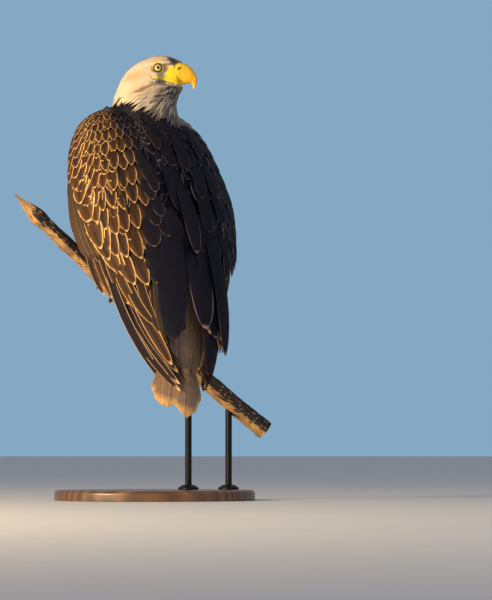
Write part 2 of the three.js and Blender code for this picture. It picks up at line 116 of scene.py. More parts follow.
def unit(vectors):
    return vectors / np.maximum(np.linalg.norm(vectors, axis=-1, keepdims=True), 1e-12)


def dot(a, b):
    return (a * b).sum(-1, keepdims=True)


def turns(columns):
    # even steps once round, as one row
    return 2 * np.pi * np.arange(columns)[None] / columns


def spokes(over, beside, turn):
    # ways out from each point of a line, all round it
    return over[:, None] * np.cos(turn)[..., None] + beside[:, None] * np.sin(turn)[..., None]


def along(table, keys):
    # smooth values between a table's rows, whose first column is the key
    rows = np.array(table, float)
    x, y = rows[:, 0], rows[:, 1:]
    keys = np.atleast_1d(np.asarray(keys, float))
    i = np.clip(np.searchsorted(x, keys, side="right") - 1, 0, len(x) - 2)
    before, after = np.maximum(i - 1, 0), np.minimum(i + 2, len(x) - 1)
    span = (x[i + 1] - x[i])[:, None]
    t = np.clip((keys - x[i])[:, None] / span, 0, 1)
    slopeA = (y[i + 1] - y[before]) / (x[i + 1] - x[before])[:, None] * span
    slopeB = (y[after] - y[i]) / (x[after] - x[i])[:, None] * span
    t2, t3 = t * t, t * t * t
    return (
        (2 * t3 - 3 * t2 + 1) * y[i]
        + (t3 - 2 * t2 + t) * slopeA
        + (3 * t2 - 2 * t3) * y[i + 1]
        + (t3 - t2) * slopeB
    )


# the bird's own frames: on the body x is its right, y its breast and z up its back

pose = {
    "bodyCentre": (-6, 0, 578), "bodyYaw": 30, "bodyPitch": -23,
    "rightEye": (5, 25, 913), "headYaw": -4, "headMiddle": 30,
    "squareness": 0.88, "wingDroop": {"left": 0, "right": 34},
}
sideSign = {"left": -1, "right": 1}

# rows of height, half width, reach of the back, reach of the front
foldRows = [
    (-430, 40, 66, 0), (-380, 62, 74, 6), (-320, 88, 82, 18), (-250, 110, 90, 36),
    (-163, 128, 98, 62), (-124, 148, 104, 76), (-58, 169, 112, 94), (22, 177, 118, 108),
    (102, 164, 114, 110), (171, 150, 100, 100), (205, 138, 84, 88), (232, 122, 66, 70),
    (252, 98, 46, 50), (266, 68, 30, 34),
]
# rows of share down the neck, upper x and z, lower x and z, half width
headRows = [
    (0.0, 38, 10, 42, -42, 14), (0.05, 36, 17, 44, -47, 18), (0.12, 30, 25, 43, -53, 24),
    (0.24, 17, 31, 40, -60, 31), (0.36, 0, 32, 37, -68, 37), (0.5, -20, 28, 36, -77, 42),
    (0.64, -44, 18, 37, -87, 47), (0.76, -65, 3, 40, -98, 52), (0.88, -82, -18, 44, -110, 58),
    (1.0, -93, -43, 49, -124, 64), (1.2, -98, -73, 54, -140, 70), (1.5, -96, -108, 60, -164, 74),
    (1.8, -82, -142, 50, -194, 68),
]


def poseMatrix(place, yaw, pitch=0):
    turned = Matrix.Rotation(rad(yaw), 4, "Z") @ Matrix.Rotation(rad(pitch), 4, "X")
    return np.array(Matrix.Translation(place) @ turned)


bodyMatrix = poseMatrix(pose["bodyCentre"], pose["bodyYaw"], pose["bodyPitch"])
headMatrix = poseMatrix(pose["rightEye"], pose["headYaw"])


def placed(matrix, points):
    return (points @ matrix[:3, :3].T + matrix[:3, 3]) * mm


def withinFrame(matrix, points):
    return (points / mm - matrix[:3, 3]) @ matrix[:3, :3]


def headView(points):
    seen = withinFrame(headMatrix, points)
    seen[..., 1] -= pose["headMiddle"]
    return seen


def around(table, angle, height, inset=0.0):
    angle, height, inset = np.broadcast_arrays(*map(np.asarray, (angle, height, inset)))
    width, back, front = along(table, height.ravel()).T.reshape(3, *height.shape)
    s, c = np.sin(rad(angle)), np.cos(rad(angle))
    reach = np.where(c > 0, back, front)
    x = np.sign(s) * np.abs(s) ** pose["squareness"] * (width - inset)
    y = -np.sign(c) * np.abs(c) ** pose["squareness"] * np.maximum(reach - inset, -60)
    y = np.where((front < 0) & (c < 0), -c * reach, y)
    return np.stack([x, y, height + 0.0 * x], axis=-1)


def fold(side, angle, height, inset=0.0):
    height = np.asarray(height, float)
    droop = pose["wingDroop"][side] * smooth(-height, 60, 240)
    points = around(foldRows, sideSign[side] * np.asarray(angle), height + droop, inset)
    points[..., 2] = height
    return points


def headRing(table, share, turn):
    share, turn = np.broadcast_arrays(share, turn)
    topX, topZ, lowX, lowZ, half = along(table, share.ravel()).T.reshape(5, *share.shape)
    out = np.sign(np.sin(turn)) * np.abs(np.sin(turn)) ** 0.92
    up = np.cos(turn)
    x = (topX + lowX) / 2 + (topX - lowX) / 2 * up
    z = (topZ + lowZ) / 2 + (topZ - lowZ) / 2 * up
    return np.stack([x, out * half + pose["headMiddle"], z], axis=-1)


# meshes from arrays of points

def makeMesh(name, points, polygons, material, uvs=(), attributes=(), sharp=55):
    mesh = bpy.data.meshes.new(name)
    points = np.asarray(points, np.float32).reshape(-1, 3)
    groups = [np.asarray(group, np.int32) for group in polygons if len(group)]
    loops = np.concatenate([group.ravel() for group in groups])
    totals = np.concatenate([np.full(len(g), g.shape[1], np.int32) for g in groups])
    mesh.vertices.add(len(points))
    mesh.vertices.foreach_set("co", points.ravel())
    mesh.loops.add(len(loops))
    mesh.loops.foreach_set("vertex_index", loops)
    mesh.polygons.add(len(totals))
    mesh.polygons.foreach_set("loop_start", np.cumsum(totals) - totals)
    mesh.polygons.foreach_set("use_smooth", np.ones(len(totals), bool))
    for layer, values in dict(uvs).items():
        flat = np.asarray(values, np.float32).reshape(-1, 2)[loops]
        mesh.uv_layers.new(name=layer).data.foreach_set("uv", flat.ravel())
    for layer, values in dict(attributes).items():
        values = np.asarray(values, np.float32)
        kind = "FLOAT_COLOR" if values.ndim > 1 else "FLOAT"
        made = mesh.attributes.new(layer, kind, "POINT")
        made.data.foreach_set("color" if values.ndim > 1 else "value", values.ravel())
    mesh.update(calc_edges=True)
    mesh.validate()
    mesh.set_sharp_from_angle(angle=rad(sharp))
    if material:
        mesh.materials.append(material)
    piece = bpy.data.objects.new(name, mesh)
    bpy.context.scene.collection.objects.link(piece)
    return piece


def gridFaces(rows, columns, ringed=False):
    i, j = np.meshgrid(np.arange(rows - 1), np.arange(columns - (not ringed)), indexing="ij")
    a, b = i * columns + j, i * columns + (j + 1) % columns
    return np.stack([a, b, b + columns, a + columns], axis=-1).reshape(-1, 4)


def outward(piece):
    # faces of a closed piece turned to look out
    shape = bmesh.new()
    shape.from_mesh(piece.data)
    bmesh.ops.recalc_face_normals(shape, faces=shape.faces)
    shape.to_mesh(piece.data)
    shape.free()
    return piece


def loftPiece(name, rings, material, uvs=(), attributes=(), sharp=55):
    rings = np.asarray(rings)
    rows, columns = rings.shape[:2]
    ends = np.array([np.arange(columns)[::-1]]), np.array([(rows - 1) * columns + np.arange(columns)])
    polygons = [gridFaces(rows, columns, ringed=True), *ends]
    return outward(makeMesh(name, rings, polygons, material, uvs, attributes, sharp))


def shown(piece, slot, *nodes):
    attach(piece, "root")
    if nodes:
        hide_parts(*nodes)
    return piece


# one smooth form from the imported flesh, with the gaps between its nodes closed

formLooks = {
    "voxel": 3.3, "grow": 2.8, "smoothing": 12, "headCuts": 1,
    "forehead": 14.5, "chin": 7.5, "cheek": 29.5, "taper": 0.27, "narrowing": 0.95,
}
fleshNodes = ("head", "neck", "trunk", "wing_left", "wing_right", "thigh_left", "thigh_right")


def nodeArrays(name):
    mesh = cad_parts[name].data
    points = np.zeros(len(mesh.vertices) * 3)
    mesh.vertices.foreach_get("co", points)
    mesh.calc_loop_triangles()
    faces = np.zeros(len(mesh.loop_triangles) * 3, np.int32)
    mesh.loop_triangles.foreach_get("vertices", faces)
    places, number = np.unique(points.reshape(-1, 3).round(6), axis=0, return_inverse=True)
    return places, number.reshape(-1)[faces].reshape(-1, 3)


def meshArrays(mesh):
    points = np.zeros(len(mesh.vertices) * 3)
    mesh.vertices.foreach_get("co", points)
    faces = np.array([face.vertices[:] for face in mesh.polygons if len(face.vertices) == 4])
    edges = np.zeros(len(mesh.edges) * 2, np.int32)
    mesh.edges.foreach_get("vertices", edges)
    return points.reshape(-1, 3), faces, edges.reshape(-1, 2)


def relaxed(points, edges, rounds, weight=0.5):
    a, b = np.concatenate([edges, edges[:, ::-1]]).T
    count = np.maximum(np.bincount(a, minlength=len(points)), 1)[:, None]
    for _ in range(rounds):
        total = np.stack([np.bincount(a, points[b, k], len(points)) for k in range(3)], axis=1)
        points = points + weight * (total / count - points)
    return points


def fleshForm():
    allPoints, allFaces, start = [], [], 0
    for name in fleshNodes:
        points, faces = nodeArrays(name)
        a, b, c = (points[faces[:, k]] for k in range(3))
        across = np.cross(b - a, c - a)
        normals = np.zeros_like(points)
        for k in range(3):
            np.add.at(normals, faces[:, k], across)
        allPoints.append(points + unit(normals) * formLooks["grow"] * mm)
        allFaces.append(faces + start)
        start += len(points)
    draft = makeMesh("draft", np.concatenate(allPoints), [np.concatenate(allFaces)], None)
    remesh = draft.modifiers.new("remesh", "REMESH")
    remesh.mode = "VOXEL"
    remesh.voxel_size = formLooks["voxel"] * mm
    seen = draft.evaluated_get(bpy.context.evaluated_depsgraph_get())
    solid = bpy.data.meshes.new_from_object(seen)
    bpy.data.objects.remove(draft)
    return solid


def largestBody(points, faces, edges):
    label = np.arange(len(points))
    while True:
        lower = label.copy()
        np.minimum.at(lower, edges[:, 0], label[edges[:, 1]])
        np.minimum.at(lower, edges[:, 1], label[edges[:, 0]])
        lower = lower[lower]
        if (lower == label).all():
            break
        label = lower
    keep = label == np.bincount(label).argmax()
    number = np.cumsum(keep) - 1
    return points[keep], number[faces[keep[faces].all(axis=1)]]


def finerHead(points, faces):
    # the face's squares are cut smaller, for lids, brow and gape
    shape = bmesh.new()
    corners = [shape.verts.new(p) for p in points]
    for face in faces.tolist():
        shape.faces.new([corners[i] for i in face])
    seen = headView(points)
    close = (seen[:, 0] > -34) & (seen[:, 2] > -52) & (np.abs(seen[:, 1]) < 60)
    shape.edges.ensure_lookup_table()
    shape.verts.index_update()
    chosen = [e for e in shape.edges if close[e.verts[0].index] and close[e.verts[1].index]]
    bmesh.ops.subdivide_edges(shape, edges=chosen, cuts=formLooks["headCuts"], use_grid_fill=True)
    bmesh.ops.triangulate(shape, faces=[f for f in shape.faces if len(f.verts) > 4])
    mesh = bpy.data.meshes.new("form")
    shape.to_mesh(mesh)
    shape.free()
    return mesh


def facesOf(mesh):
    quads = [face.vertices[:] for face in mesh.polygons if len(face.vertices) == 4]
    triangles = [face.vertices[:] for face in mesh.polygons if len(face.vertices) == 3]
    return [np.array(group) for group in (quads, triangles) if group]


def normalsOf(points, groups):
    normals = np.zeros_like(points)
    for faces in groups:
        a, b, c, d = (points[faces[:, k]] for k in (0, 1, 2, -1))
        across = np.cross(c - a, d - b)
        for k in range(faces.shape[1]):
            np.add.at(normals, faces[:, k], across)
    return unit(normals)


# markings, the same for the skin and for the coat over it

marks = {
    "hoodBack": -78, "hoodSlope": 0.40, "hoodBend": 0.0022, "hoodLowest": 60, "hoodDrop": 0.5,
    "hoodFrom": -50, "hoodBackFrom": -68, "hoodMiddle": -30, "hoodHalf": (89, 82), "hackles": 29,
    # rim strengths; the right wing's lower one paints its shade
    "rimLeft": 1.0, "rimRight": 0.42, "rimMantle": 0.5, "rimBelow": 0.22,
    # how strongly painted shade darkens each place of the face and throat
    "forehead": 1.8, "throat": 0.92, "chin": 0.95, "jaw": 0.7, "browLine": 1.5, "mouth": 0.6,
}


def nearSegment(points, a, b):
    a, b = np.array(a, float), np.array(b, float)
    t = np.clip(((points - a) @ (b - a)) / ((b - a) @ (b - a)), 0, 1)
    return np.linalg.norm(points - a - t[:, None] * (b - a), axis=1)


def hoodEdge(points):
    # height over the edge where white gives way to brown, in the head's frame
    seen = headView(points)
    x, y, z = seen.T
    front = np.maximum(x - marks["hoodFrom"], 0)
    front = np.minimum(front * marks["hoodSlope"] + front ** 2 * marks["hoodBend"], marks["hoodLowest"])
    back = np.maximum(marks["hoodBackFrom"] - x, 0) * marks["hoodDrop"]
    ragged = 5 * np.sin(y * 0.21 + x * 0.13) + 4 * np.sin(x * 0.31 - y * 0.17)
    long, wide = marks["hoodHalf"]
    beyond = smooth(np.hypot((x - marks["hoodMiddle"]) / long, y / wide), 0.97, 1.15) * 130
    return z - (marks["hoodBack"] - front - back + ragged * 0.6) - beyond - marks["hackles"]


def bodyView(points):
    seen = withinFrame(bodyMatrix, points)
    angle = np.degrees(np.arctan2(seen[..., 0], -seen[..., 1]))
    return angle, seen[..., 2]


# where the left wing's pale-rimmed feathers, brightened and warmed as painted sunlight, give way to the dark
# back: height, and place across
sunlitWingEdge = (300, 451, 546, 630, 693, 735, 777, 819), (0, 0, -6, -10, -31, -48, -78, -99)


def sunlitLeftWing(points):
    angle, _ = bodyView(points)
    edge = np.interp(points[:, 2] / mm, *sunlitWingEdge)
    return smooth(edge - points[:, 0] / mm, -16, 12) * smooth(-angle, -10, 10)


def rimStrength(points):
    # pale rims: full on the sunlit left wing and cut on the right wing, as painted light and shade on the
    # same plumage; weaker on the mantle near the hood and on the front
    angle, _ = bodyView(points)
    onLeft = sunlitLeftWing(points)
    onRight = smooth(angle, 22, 50)
    faded = 0.3 + 0.7 * smooth(-hoodEdge(points), 40, 110)
    back = marks["rimMantle"] * (1 - onLeft) * (1 - onRight) * faded
    front = smooth(np.abs(angle), 118, 140)
    winged = marks["rimLeft"] * onLeft + marks["rimRight"] * onRight
    return mix(np.maximum(winged, back), marks["rimBelow"], front)


def stainOf(points):
    # buff and grey smudges on the white of the head
    x, _, z = headView(points).T
    behindEye = np.exp(-(((x + 32) / 26) ** 2 + ((z + 12) / 11) ** 2))
    cheek = np.exp(-(((x + 18) / 30) ** 2 + ((z + 38) / 9) ** 2))
    crown = 0.5 * smooth(z, 8, 30) * smooth(x, -60, 10)
    return np.clip(0.75 * behindEye + 0.6 * cheek + crown, 0, 1)


# soft dark lines of painted shade on the face, along the brow and the mouth, in the head's frame: from, to,
# half width
paintedShadeLines = {"browLine": ((3, 8.2), (36, 9.0), 2.3), "mouth": ((-8, -24.5), (20, -32), 1.4)}


def paintedShadeOf(points):
    # painted shade on the front of the forehead, over the lid's corner, along the mouth, under the chin and
    # jaw, and down the throat
    x, y, z = headView(points).T
    forehead = smooth(x, 20, 30) * smooth(z, 8, 12)
    throat = smooth(-z, 34, 58) * smooth(x + 0.35 * z, -50, -18) * (1 - smooth(-z, 84, 130))
    chin = smooth(-z, 31, 37) * smooth(x, 4, 26) * (1 - smooth(-z, 46, 72))
    jaw = np.exp(-(((z + 33 - 0.42 * x) / 4.5) ** 2)) * smooth(x, -40, -18) * (1 - smooth(x, 30, 40))
    places = {"forehead": forehead, "throat": throat, "chin": chin, "jaw": jaw}
    for name, (start, end, wide) in paintedShadeLines.items():
        apart = nearSegment(np.stack([x, z], axis=1), start, end)
        places[name] = np.exp(-((apart / wide) ** 4)) * smooth(np.abs(y), 12, 15)
    dark = sum(marks[name] * amount for name, amount in places.items())
    return np.clip(dark, 0, 1.8)


def paintedSunlightOf(points):
    # painted sunlight: the left wing's brown warmed as if lit by the low sun, against the near-black of the
    # back
    angle, _ = bodyView(points)
    return np.clip(0.02 + 0.98 * sunlitLeftWing(points), 0, 1) * (1 - 0.6 * smooth(np.abs(angle), 115, 140))


def plumeMarks(points, chance, hang=0.0):
    # red: chance, green: whiteness, blue: rim strength, which also paints light and shade on the wings,
    # alpha: stain of the white, or painted sunlight warming the brown
    _, height = bodyView(points)
    rump = smooth(-height, 262, 268) * smooth(-points[:, 1], -0.11, -0.08)
    white = np.maximum(smooth(hoodEdge(points) + hang, -1.5, 1.5), rump)
    stain = np.where(white > 0.5, stainOf(points), paintedSunlightOf(points))
    # the white feathers take their stains, the brown ones painted sunlight
    values = np.stack([chance, white, rimStrength(points), stain], axis=1)
    return np.clip(values, 0, 1)


# shader effects that several materials share

def newGroup(name, inputs, outputs):
    group = bpy.data.node_groups.new(name, "ShaderNodeTree")
    for label, kind, value in inputs:
        socket = group.interface.new_socket(name=label, in_out="INPUT", socket_type="NodeSocket" + kind)
        if value is not None:
            socket.default_value = value
    for label, kind in outputs:
        group.interface.new_socket(name=label, in_out="OUTPUT", socket_type="NodeSocket" + kind)
    entry, leave = group.nodes.new("NodeGroupInput"), group.nodes.new("NodeGroupOutput")
    return group, entry, leave


class Wiring:
    # short calls for adding nodes to one tree and linking them
    def __init__(self, tree):
        self.tree = tree

    def put(self, kind, **settings):
        node = self.tree.nodes.new("ShaderNode" + kind)
        for key, value in settings.items():
            setattr(node, key, value)
        return node

    def join(self, value, socket):
        if isinstance(value, bpy.types.NodeSocket):
            self.tree.links.new(value, socket)
        elif value is not None:
            socket.default_value = value

    def math(self, operation, *values):
        node = self.put("Math", operation=operation)
        for place, value in enumerate(values):
            self.join(value, node.inputs[place])
        return node.outputs[0]

    def ramp(self, value, low, high, toLow=0.0, toHigh=1.0):
        node = self.put("MapRange", interpolation_type="SMOOTHSTEP")
        for place, item in enumerate((value, low, high, toLow, toHigh)):
            self.join(item, node.inputs[place])
        return node.outputs[0]

    def blend(self, amount, a, b):
        node = self.put("Mix", data_type="RGBA", blend_type="MIX")
        self.join(amount, node.inputs[0])
        for value, socket in ((a, node.inputs[6]), (b, node.inputs[7])):
            self.join((*value, 1) if isinstance(value, tuple) else value, socket)
        return node.outputs[2]

    def noise(self, vector, scale, detail=3.0, rough=0.55):
        node = self.put("TexNoise")
        self.join(vector, node.inputs["Vector"])
        for label, value in (("Scale", scale), ("Detail", detail), ("Roughness", rough)):
            self.join(value, node.inputs[label])
        return node.outputs["Fac"]

    def cells(self, scale, feature="F1"):
        node = self.put("TexVoronoi", feature=feature)
        self.join(self.spot(), node.inputs["Vector"])
        node.inputs["Scale"].default_value = scale
        return node.outputs["Distance"]

    def stretched(self, vector, scale):
        node = self.put("Mapping")
        self.join(vector, node.inputs["Vector"])
        node.inputs["Scale"].default_value = scale
        return node.outputs[0]

    def amount(self, attribute):
        return self.put("Attribute", attribute_name=attribute).outputs["Fac"]

    def channels(self, attribute):
        # a colour attribute's red, green, blue and alpha
        source = self.put("Attribute", attribute_name=attribute)
        parts = self.put("SeparateColor")
        self.join(source.outputs["Color"], parts.inputs[0])
        return *parts.outputs, source.outputs["Alpha"]

    def vane(self):
        return self.put("UVMap", uv_map="vane").outputs[0]

    def spot(self):
        return self.put("TexCoord").outputs["Object"]

    def dress(self, colour, height=None, distance=0.0005, strength=1.0, roughness=None):
        # colour, relief and roughness joined to the material's own shader
        shader = self.tree.nodes["Principled BSDF"]
        self.join(colour, shader.inputs["Base Color"])
        self.join(roughness, shader.inputs["Roughness"])
        if height is not None:
            self.join(self.bump(height, distance, strength), shader.inputs["Normal"])

    def place(self, group, **values):
        node = self.put("Group", node_tree=group)
        for label, value in values.items():
            self.join(value, node.inputs[label])
        return node.outputs

    def mottled(self, colour, scale, amount, grain):
        return self.place(mottle, Color=colour, Scale=scale, Amount=amount, Grain=grain)["Color"]

    def bump(self, height, distance, strength=1.0):
        node = self.put("Bump")
        node.inputs["Strength"].default_value = strength
        node.inputs["Distance"].default_value = distance
        self.join(height, node.inputs["Height"])
        return node.outputs[0]


def vanePatternGroup():
    # the pale rim, the shaft and the barbs of one feather, from its own flat map
    group, entry, leave = newGroup(
        "vanePattern",
        [("Map", "Vector", None), ("RimWidth", "Float", 0.2), ("RimFrom", "Float", 0.2),
         ("Barbs", "Float", 60.0), ("Chance", "Float", 0.5)],
        [("Rim", "Float"), ("Shaft", "Float"), ("Height", "Float"), ("Along", "Float"), ("Off", "Float")],
    )
    w = Wiring(group)
    apart = w.put("SeparateXYZ")
    w.join(entry.outputs["Map"], apart.inputs[0])
    across, down = apart.outputs[0], apart.outputs[1]
    off = w.math("ABSOLUTE", w.math("MULTIPLY_ADD", across, 2.0, -1.0))
    inner = w.math("SUBTRACT", 1.0, entry.outputs["RimWidth"])
    sideRim = w.ramp(off, inner, 1.0)
    tipFrom = w.math("SUBTRACT", 1.0, w.math("MULTIPLY", entry.outputs["RimWidth"], 0.42))
    tipRim = w.ramp(down, tipFrom, 1.0)
    rimFrom = entry.outputs["RimFrom"]
    farDown = w.ramp(down, rimFrom, w.math("ADD", rimFrom, 0.35))
    sideRim = w.math("MULTIPLY", sideRim, farDown)
    rim = w.math("MAXIMUM", sideRim, tipRim)
    shaft = w.ramp(off, 0.02, 0.07, 1.0, 0.0)
    slant = w.math("SUBTRACT", down, w.math("MULTIPLY", off, 0.22))
    slant = w.math("ADD", slant, entry.outputs["Chance"])
    wave = w.math("SINE", w.math("MULTIPLY", slant, w.math("MULTIPLY", entry.outputs["Barbs"], 6.283)))
    ridge = w.math("MULTIPLY", shaft, 1.6)
    height = w.math("ADD", w.math("MULTIPLY", wave, 0.3), ridge)
    for label, value in (("Rim", rim), ("Shaft", shaft), ("Height", height), ("Along", down), ("Off", off)):
        w.join(value, leave.inputs[label])
    return group


def mottleGroup():
    # soft uneven shade, and fine grain, over any surface
    group, entry, leave = newGroup(
        "mottle",
        [("Color", "Color", None), ("Scale", "Float", 30.0), ("Amount", "Float", 0.3),
         ("Grain", "Float", 0.1)],
        [("Color", "Color"), ("Mask", "Float")],
    )
    w = Wiring(group)
    spot, level = w.spot(), 1.0
    broad = w.noise(spot, entry.outputs["Scale"])
    fine = w.noise(spot, w.math("MULTIPLY", entry.outputs["Scale"], 9.0), detail=5.0)
    for pattern, label in ((broad, "Amount"), (fine, "Grain")):
        swing = w.math("MULTIPLY", entry.outputs[label], 2.0)
        level = w.math("ADD", w.math("MULTIPLY", w.math("SUBTRACT", pattern, 0.5), swing), level)
    scaled = w.put("VectorMath", operation="SCALE")
    w.join(entry.outputs["Color"], scaled.inputs[0])
    w.join(level, scaled.inputs["Scale"])
    for label, value in (("Color", scaled.outputs[0]), ("Mask", broad)):
        w.join(value, leave.inputs[label])
    return group


vanePattern = vanePatternGroup()
mottle = mottleGroup()


def newMaterial(name, roughness=0.5, **constants):
    material = bpy.data.materials.new(name)
    material.use_nodes = True
    w = Wiring(material.node_tree)
    shader = material.node_tree.nodes["Principled BSDF"]
    shader.inputs["Roughness"].default_value = roughness
    for label, value in constants.items():
        shader.inputs[label.replace("_", " ")].default_value = value
    return material, w


plumageLooks = {
    # the near-black brown is tinted blue as a painted reflection of the sky
    "dark": (0.0070, 0.0074, 0.0160), "mid": (0.062, 0.028, 0.010), "rim": (0.96, 0.62, 0.24),
    # the golden rim above is pale edging gilded as painted sunlight, and the grey rim below its painted shade
    "shadedRim": (0.46, 0.37, 0.38),
    # a warm glow of painted sunlight on the vanes' edges
    "paintedSunGlow": (0.24, 0.115, 0.036), "shade": (0.36, 0.27, 0.19),
    # the near-black grey at the end of the next row is painted shade
    "white": (0.79, 0.68, 0.51), "stain": (0.62, 0.36, 0.17), "paintedShade": (0.05, 0.05, 0.055),
    "yellow": (1.0, 0.70, 0.03), "lidDarkAndMouthShade": (0.03, 0.022, 0.016),
}


def plumageMaterial(name, rimWidth=0.22, barbs=34.0, rimFrom=0.2, bare=False):
    material, w = newMaterial(name, 0.6, Specular_IOR_Level=0.12)
    look = plumageLooks
    # the last channel stains the white feathers and, as painted sunlight, warms the brown ones
    chance, white, rimAmount, warmth = w.channels("plume")
    out = w.place(vanePattern, Map=w.vane(), RimWidth=rimWidth, RimFrom=rimFrom, Barbs=barbs, Chance=chance)
    # painted sunlight: a warmer, brighter brown, uneven by chance, where the brown is warmed
    middling = w.math("MULTIPLY", w.ramp(chance, 0.0, 1.0, 0.25, 0.8), warmth)
    brown = w.blend(middling, look["dark"], look["mid"])
    outer = w.math("MULTIPLY", w.math("POWER", out["Off"], 1.6), w.ramp(out["Along"], 0.2, 0.95))
    # painted sunlight: a warm glow towards each vane's edges and tip
    brown = w.blend(w.math("MULTIPLY", outer, w.math("MULTIPLY", warmth, 0.75)), brown, look["paintedSunGlow"])
    # the rims' colour: gold as painted sunlight where the brown is warmed, grey as painted shade elsewhere
    pale = w.blend(w.ramp(warmth, 0.08, 0.28), look["shadedRim"], look["rim"])
    brown = w.blend(w.math("MULTIPLY", out["Rim"], rimAmount), brown, pale)
    brown = w.blend(w.math("MULTIPLY", out["Shaft"], 0.4), brown, look["dark"])
    snow = w.blend(warmth, look["white"], look["stain"])
    # painted shade of the face and throat, streaked by chance
    paintedShadeAmount = w.math("MULTIPLY", w.amount("paintedShade"), w.ramp(chance, 0.1, 0.8, 0.3, 1.0))
    snow = w.blend(paintedShadeAmount, snow, look["paintedShade"])
    snow = w.blend(w.math("MULTIPLY", out["Shaft"], 0.22), snow, look["stain"])
    shaded = w.math("MULTIPLY", w.math("POWER", out["Off"], 3.0), w.ramp(chance, 0.2, 1.0, 0.0, 0.5))
    snow = w.blend(shaded, snow, look["shade"])
    colour = w.blend(white, brown, snow)
    colour = w.mottled(colour, 26.0, 0.16, 0.1)
    if bare:
        for name in ("yellow", "lidDarkAndMouthShade"):
            colour = w.blend(w.amount(name), colour, look[name])
    w.dress(colour, out["Height"], 0.0002, 0.6)
    return material


plumageSkin = plumageMaterial("plumageSkin", bare=True)
plumageSmall = plumageMaterial("plumageSmall", rimWidth=0.25, barbs=22.0)
plumageCovert = plumageMaterial("plumageCovert", rimWidth=0.19, barbs=40.0)
plumageLong = plumageMaterial("plumageLong", rimWidth=0.12, barbs=70.0, rimFrom=0.5)
plumageEdged = plumageMaterial("plumageEdged", rimWidth=0.17, barbs=80.0, rimFrom=-0.3)
print("shared shader groups and plumage materials made")


# the skin: one body under the feathers, with the brow, the lids' beds and the gape in it

skinLooks = {"bodyDepth": 5.0, "headDepth": 2.0, "faceDepth": 0.5, "browOut": 4.6, "socketIn": 2.6}
eyeLooks = {
    "radius": 9.5, "spread": 60, "iris": 7.3, "pupil": 3.8, "lidInner": 8.0, "lidOuter": 11.5,
    "lidThick": 1.6,
}


# the lores' front edge: heights, and how far forward the feathers reach at each
loresEdge = (-34, -30, -26.7, -20, -15, -7.8, 0.6, 5.9, 8, 12), (30, 28, 18, 14, 17, 16, 21, 33, 41, 60)


# raised and sunk lines on the face, in the head's frame: from, to, half width
faceLines = {
    "brow": ((-15, 10.5), (33, 11.5), 4.6), "gape": ((-6, -18.8), (32, -27.0), 3.8),
    "line": ((-14, -22.5), (33, -32.5), 1.5),
}
socketWide = 12.5


def faceParts(points):
    # how far each point lies in the brow, the socket, the lores and the gape
    seen = headView(points)
    flat = np.stack([seen[:, 0], seen[:, 2]], axis=1)
    beside = smooth(np.abs(seen[:, 1]), 15, 22)
    parts = {}
    for name, (start, end, wide) in faceLines.items():
        parts[name] = np.exp(-((nearSegment(flat, start, end) / wide) ** 2)) * beside
    parts["brow"] *= smooth(seen[:, 0], -26, -8)
    parts["toEye"] = np.hypot(flat[:, 0], flat[:, 1])
    parts["socket"] = np.exp(-((parts["toEye"] / socketWide) ** 4)) * beside
    edge = np.interp(flat[:, 1], *loresEdge)
    lores = smooth(seen[:, 0] - edge, -2.5, 1.5) * smooth(np.abs(seen[:, 1]), 4, 8)
    parts["lores"] = lores * smooth(flat[:, 1], -34, -31)
    return parts


def makeForm():
    solid = fleshForm()
    points, faces, edges = meshArrays(solid)
    points = relaxed(points, edges, formLooks["smoothing"])
    mesh = finerHead(*largestBody(points, faces, edges))
    groups = facesOf(mesh)
    points, _, edges = meshArrays(mesh)
    onHead = headView(points)[:, 0] > -40
    points = np.where(onHead[:, None], relaxed(points, edges, 3), points)
    points = points - normalsOf(points, groups) * formLooks["grow"] * mm
    x, y, z = headView(points).T
    aside = np.abs(y)
    look = formLooks
    forehead = np.exp(-(((z - 14.5) / 9) ** 2)) * smooth(x, 16, 34) * (1 - smooth(aside, 5, 13))
    chin = np.exp(-(((z + 38) / 9.5) ** 2)) * smooth(x, 14, 38) * (1 - smooth(aside, 6, 15))
    forward = look["forehead"] * forehead + look["chin"] * chin
    face = smooth(x, -2, 10) * smooth(z, -40, -32) * (1 - smooth(z, 6, 14)) * look["narrowing"]
    narrower = face * np.maximum(aside - look["cheek"] + look["taper"] * np.maximum(x, 0), 0)
    shift = np.stack([forward, -np.sign(y) * narrower, 0.0 * x], axis=1) * (x > -4)[:, None]
    points = points + (shift @ headMatrix[:3, :3].T) * mm
    return relaxed(points, edges, 1), groups, edges


formPoints, formFaces, formEdges = makeForm()
formNormals = normalsOf(formPoints, formFaces)
formTree = BVHTree.FromPolygons(formPoints.tolist(), [f for g in formFaces for f in g.tolist()])
print("form made:", len(formPoints), "points")


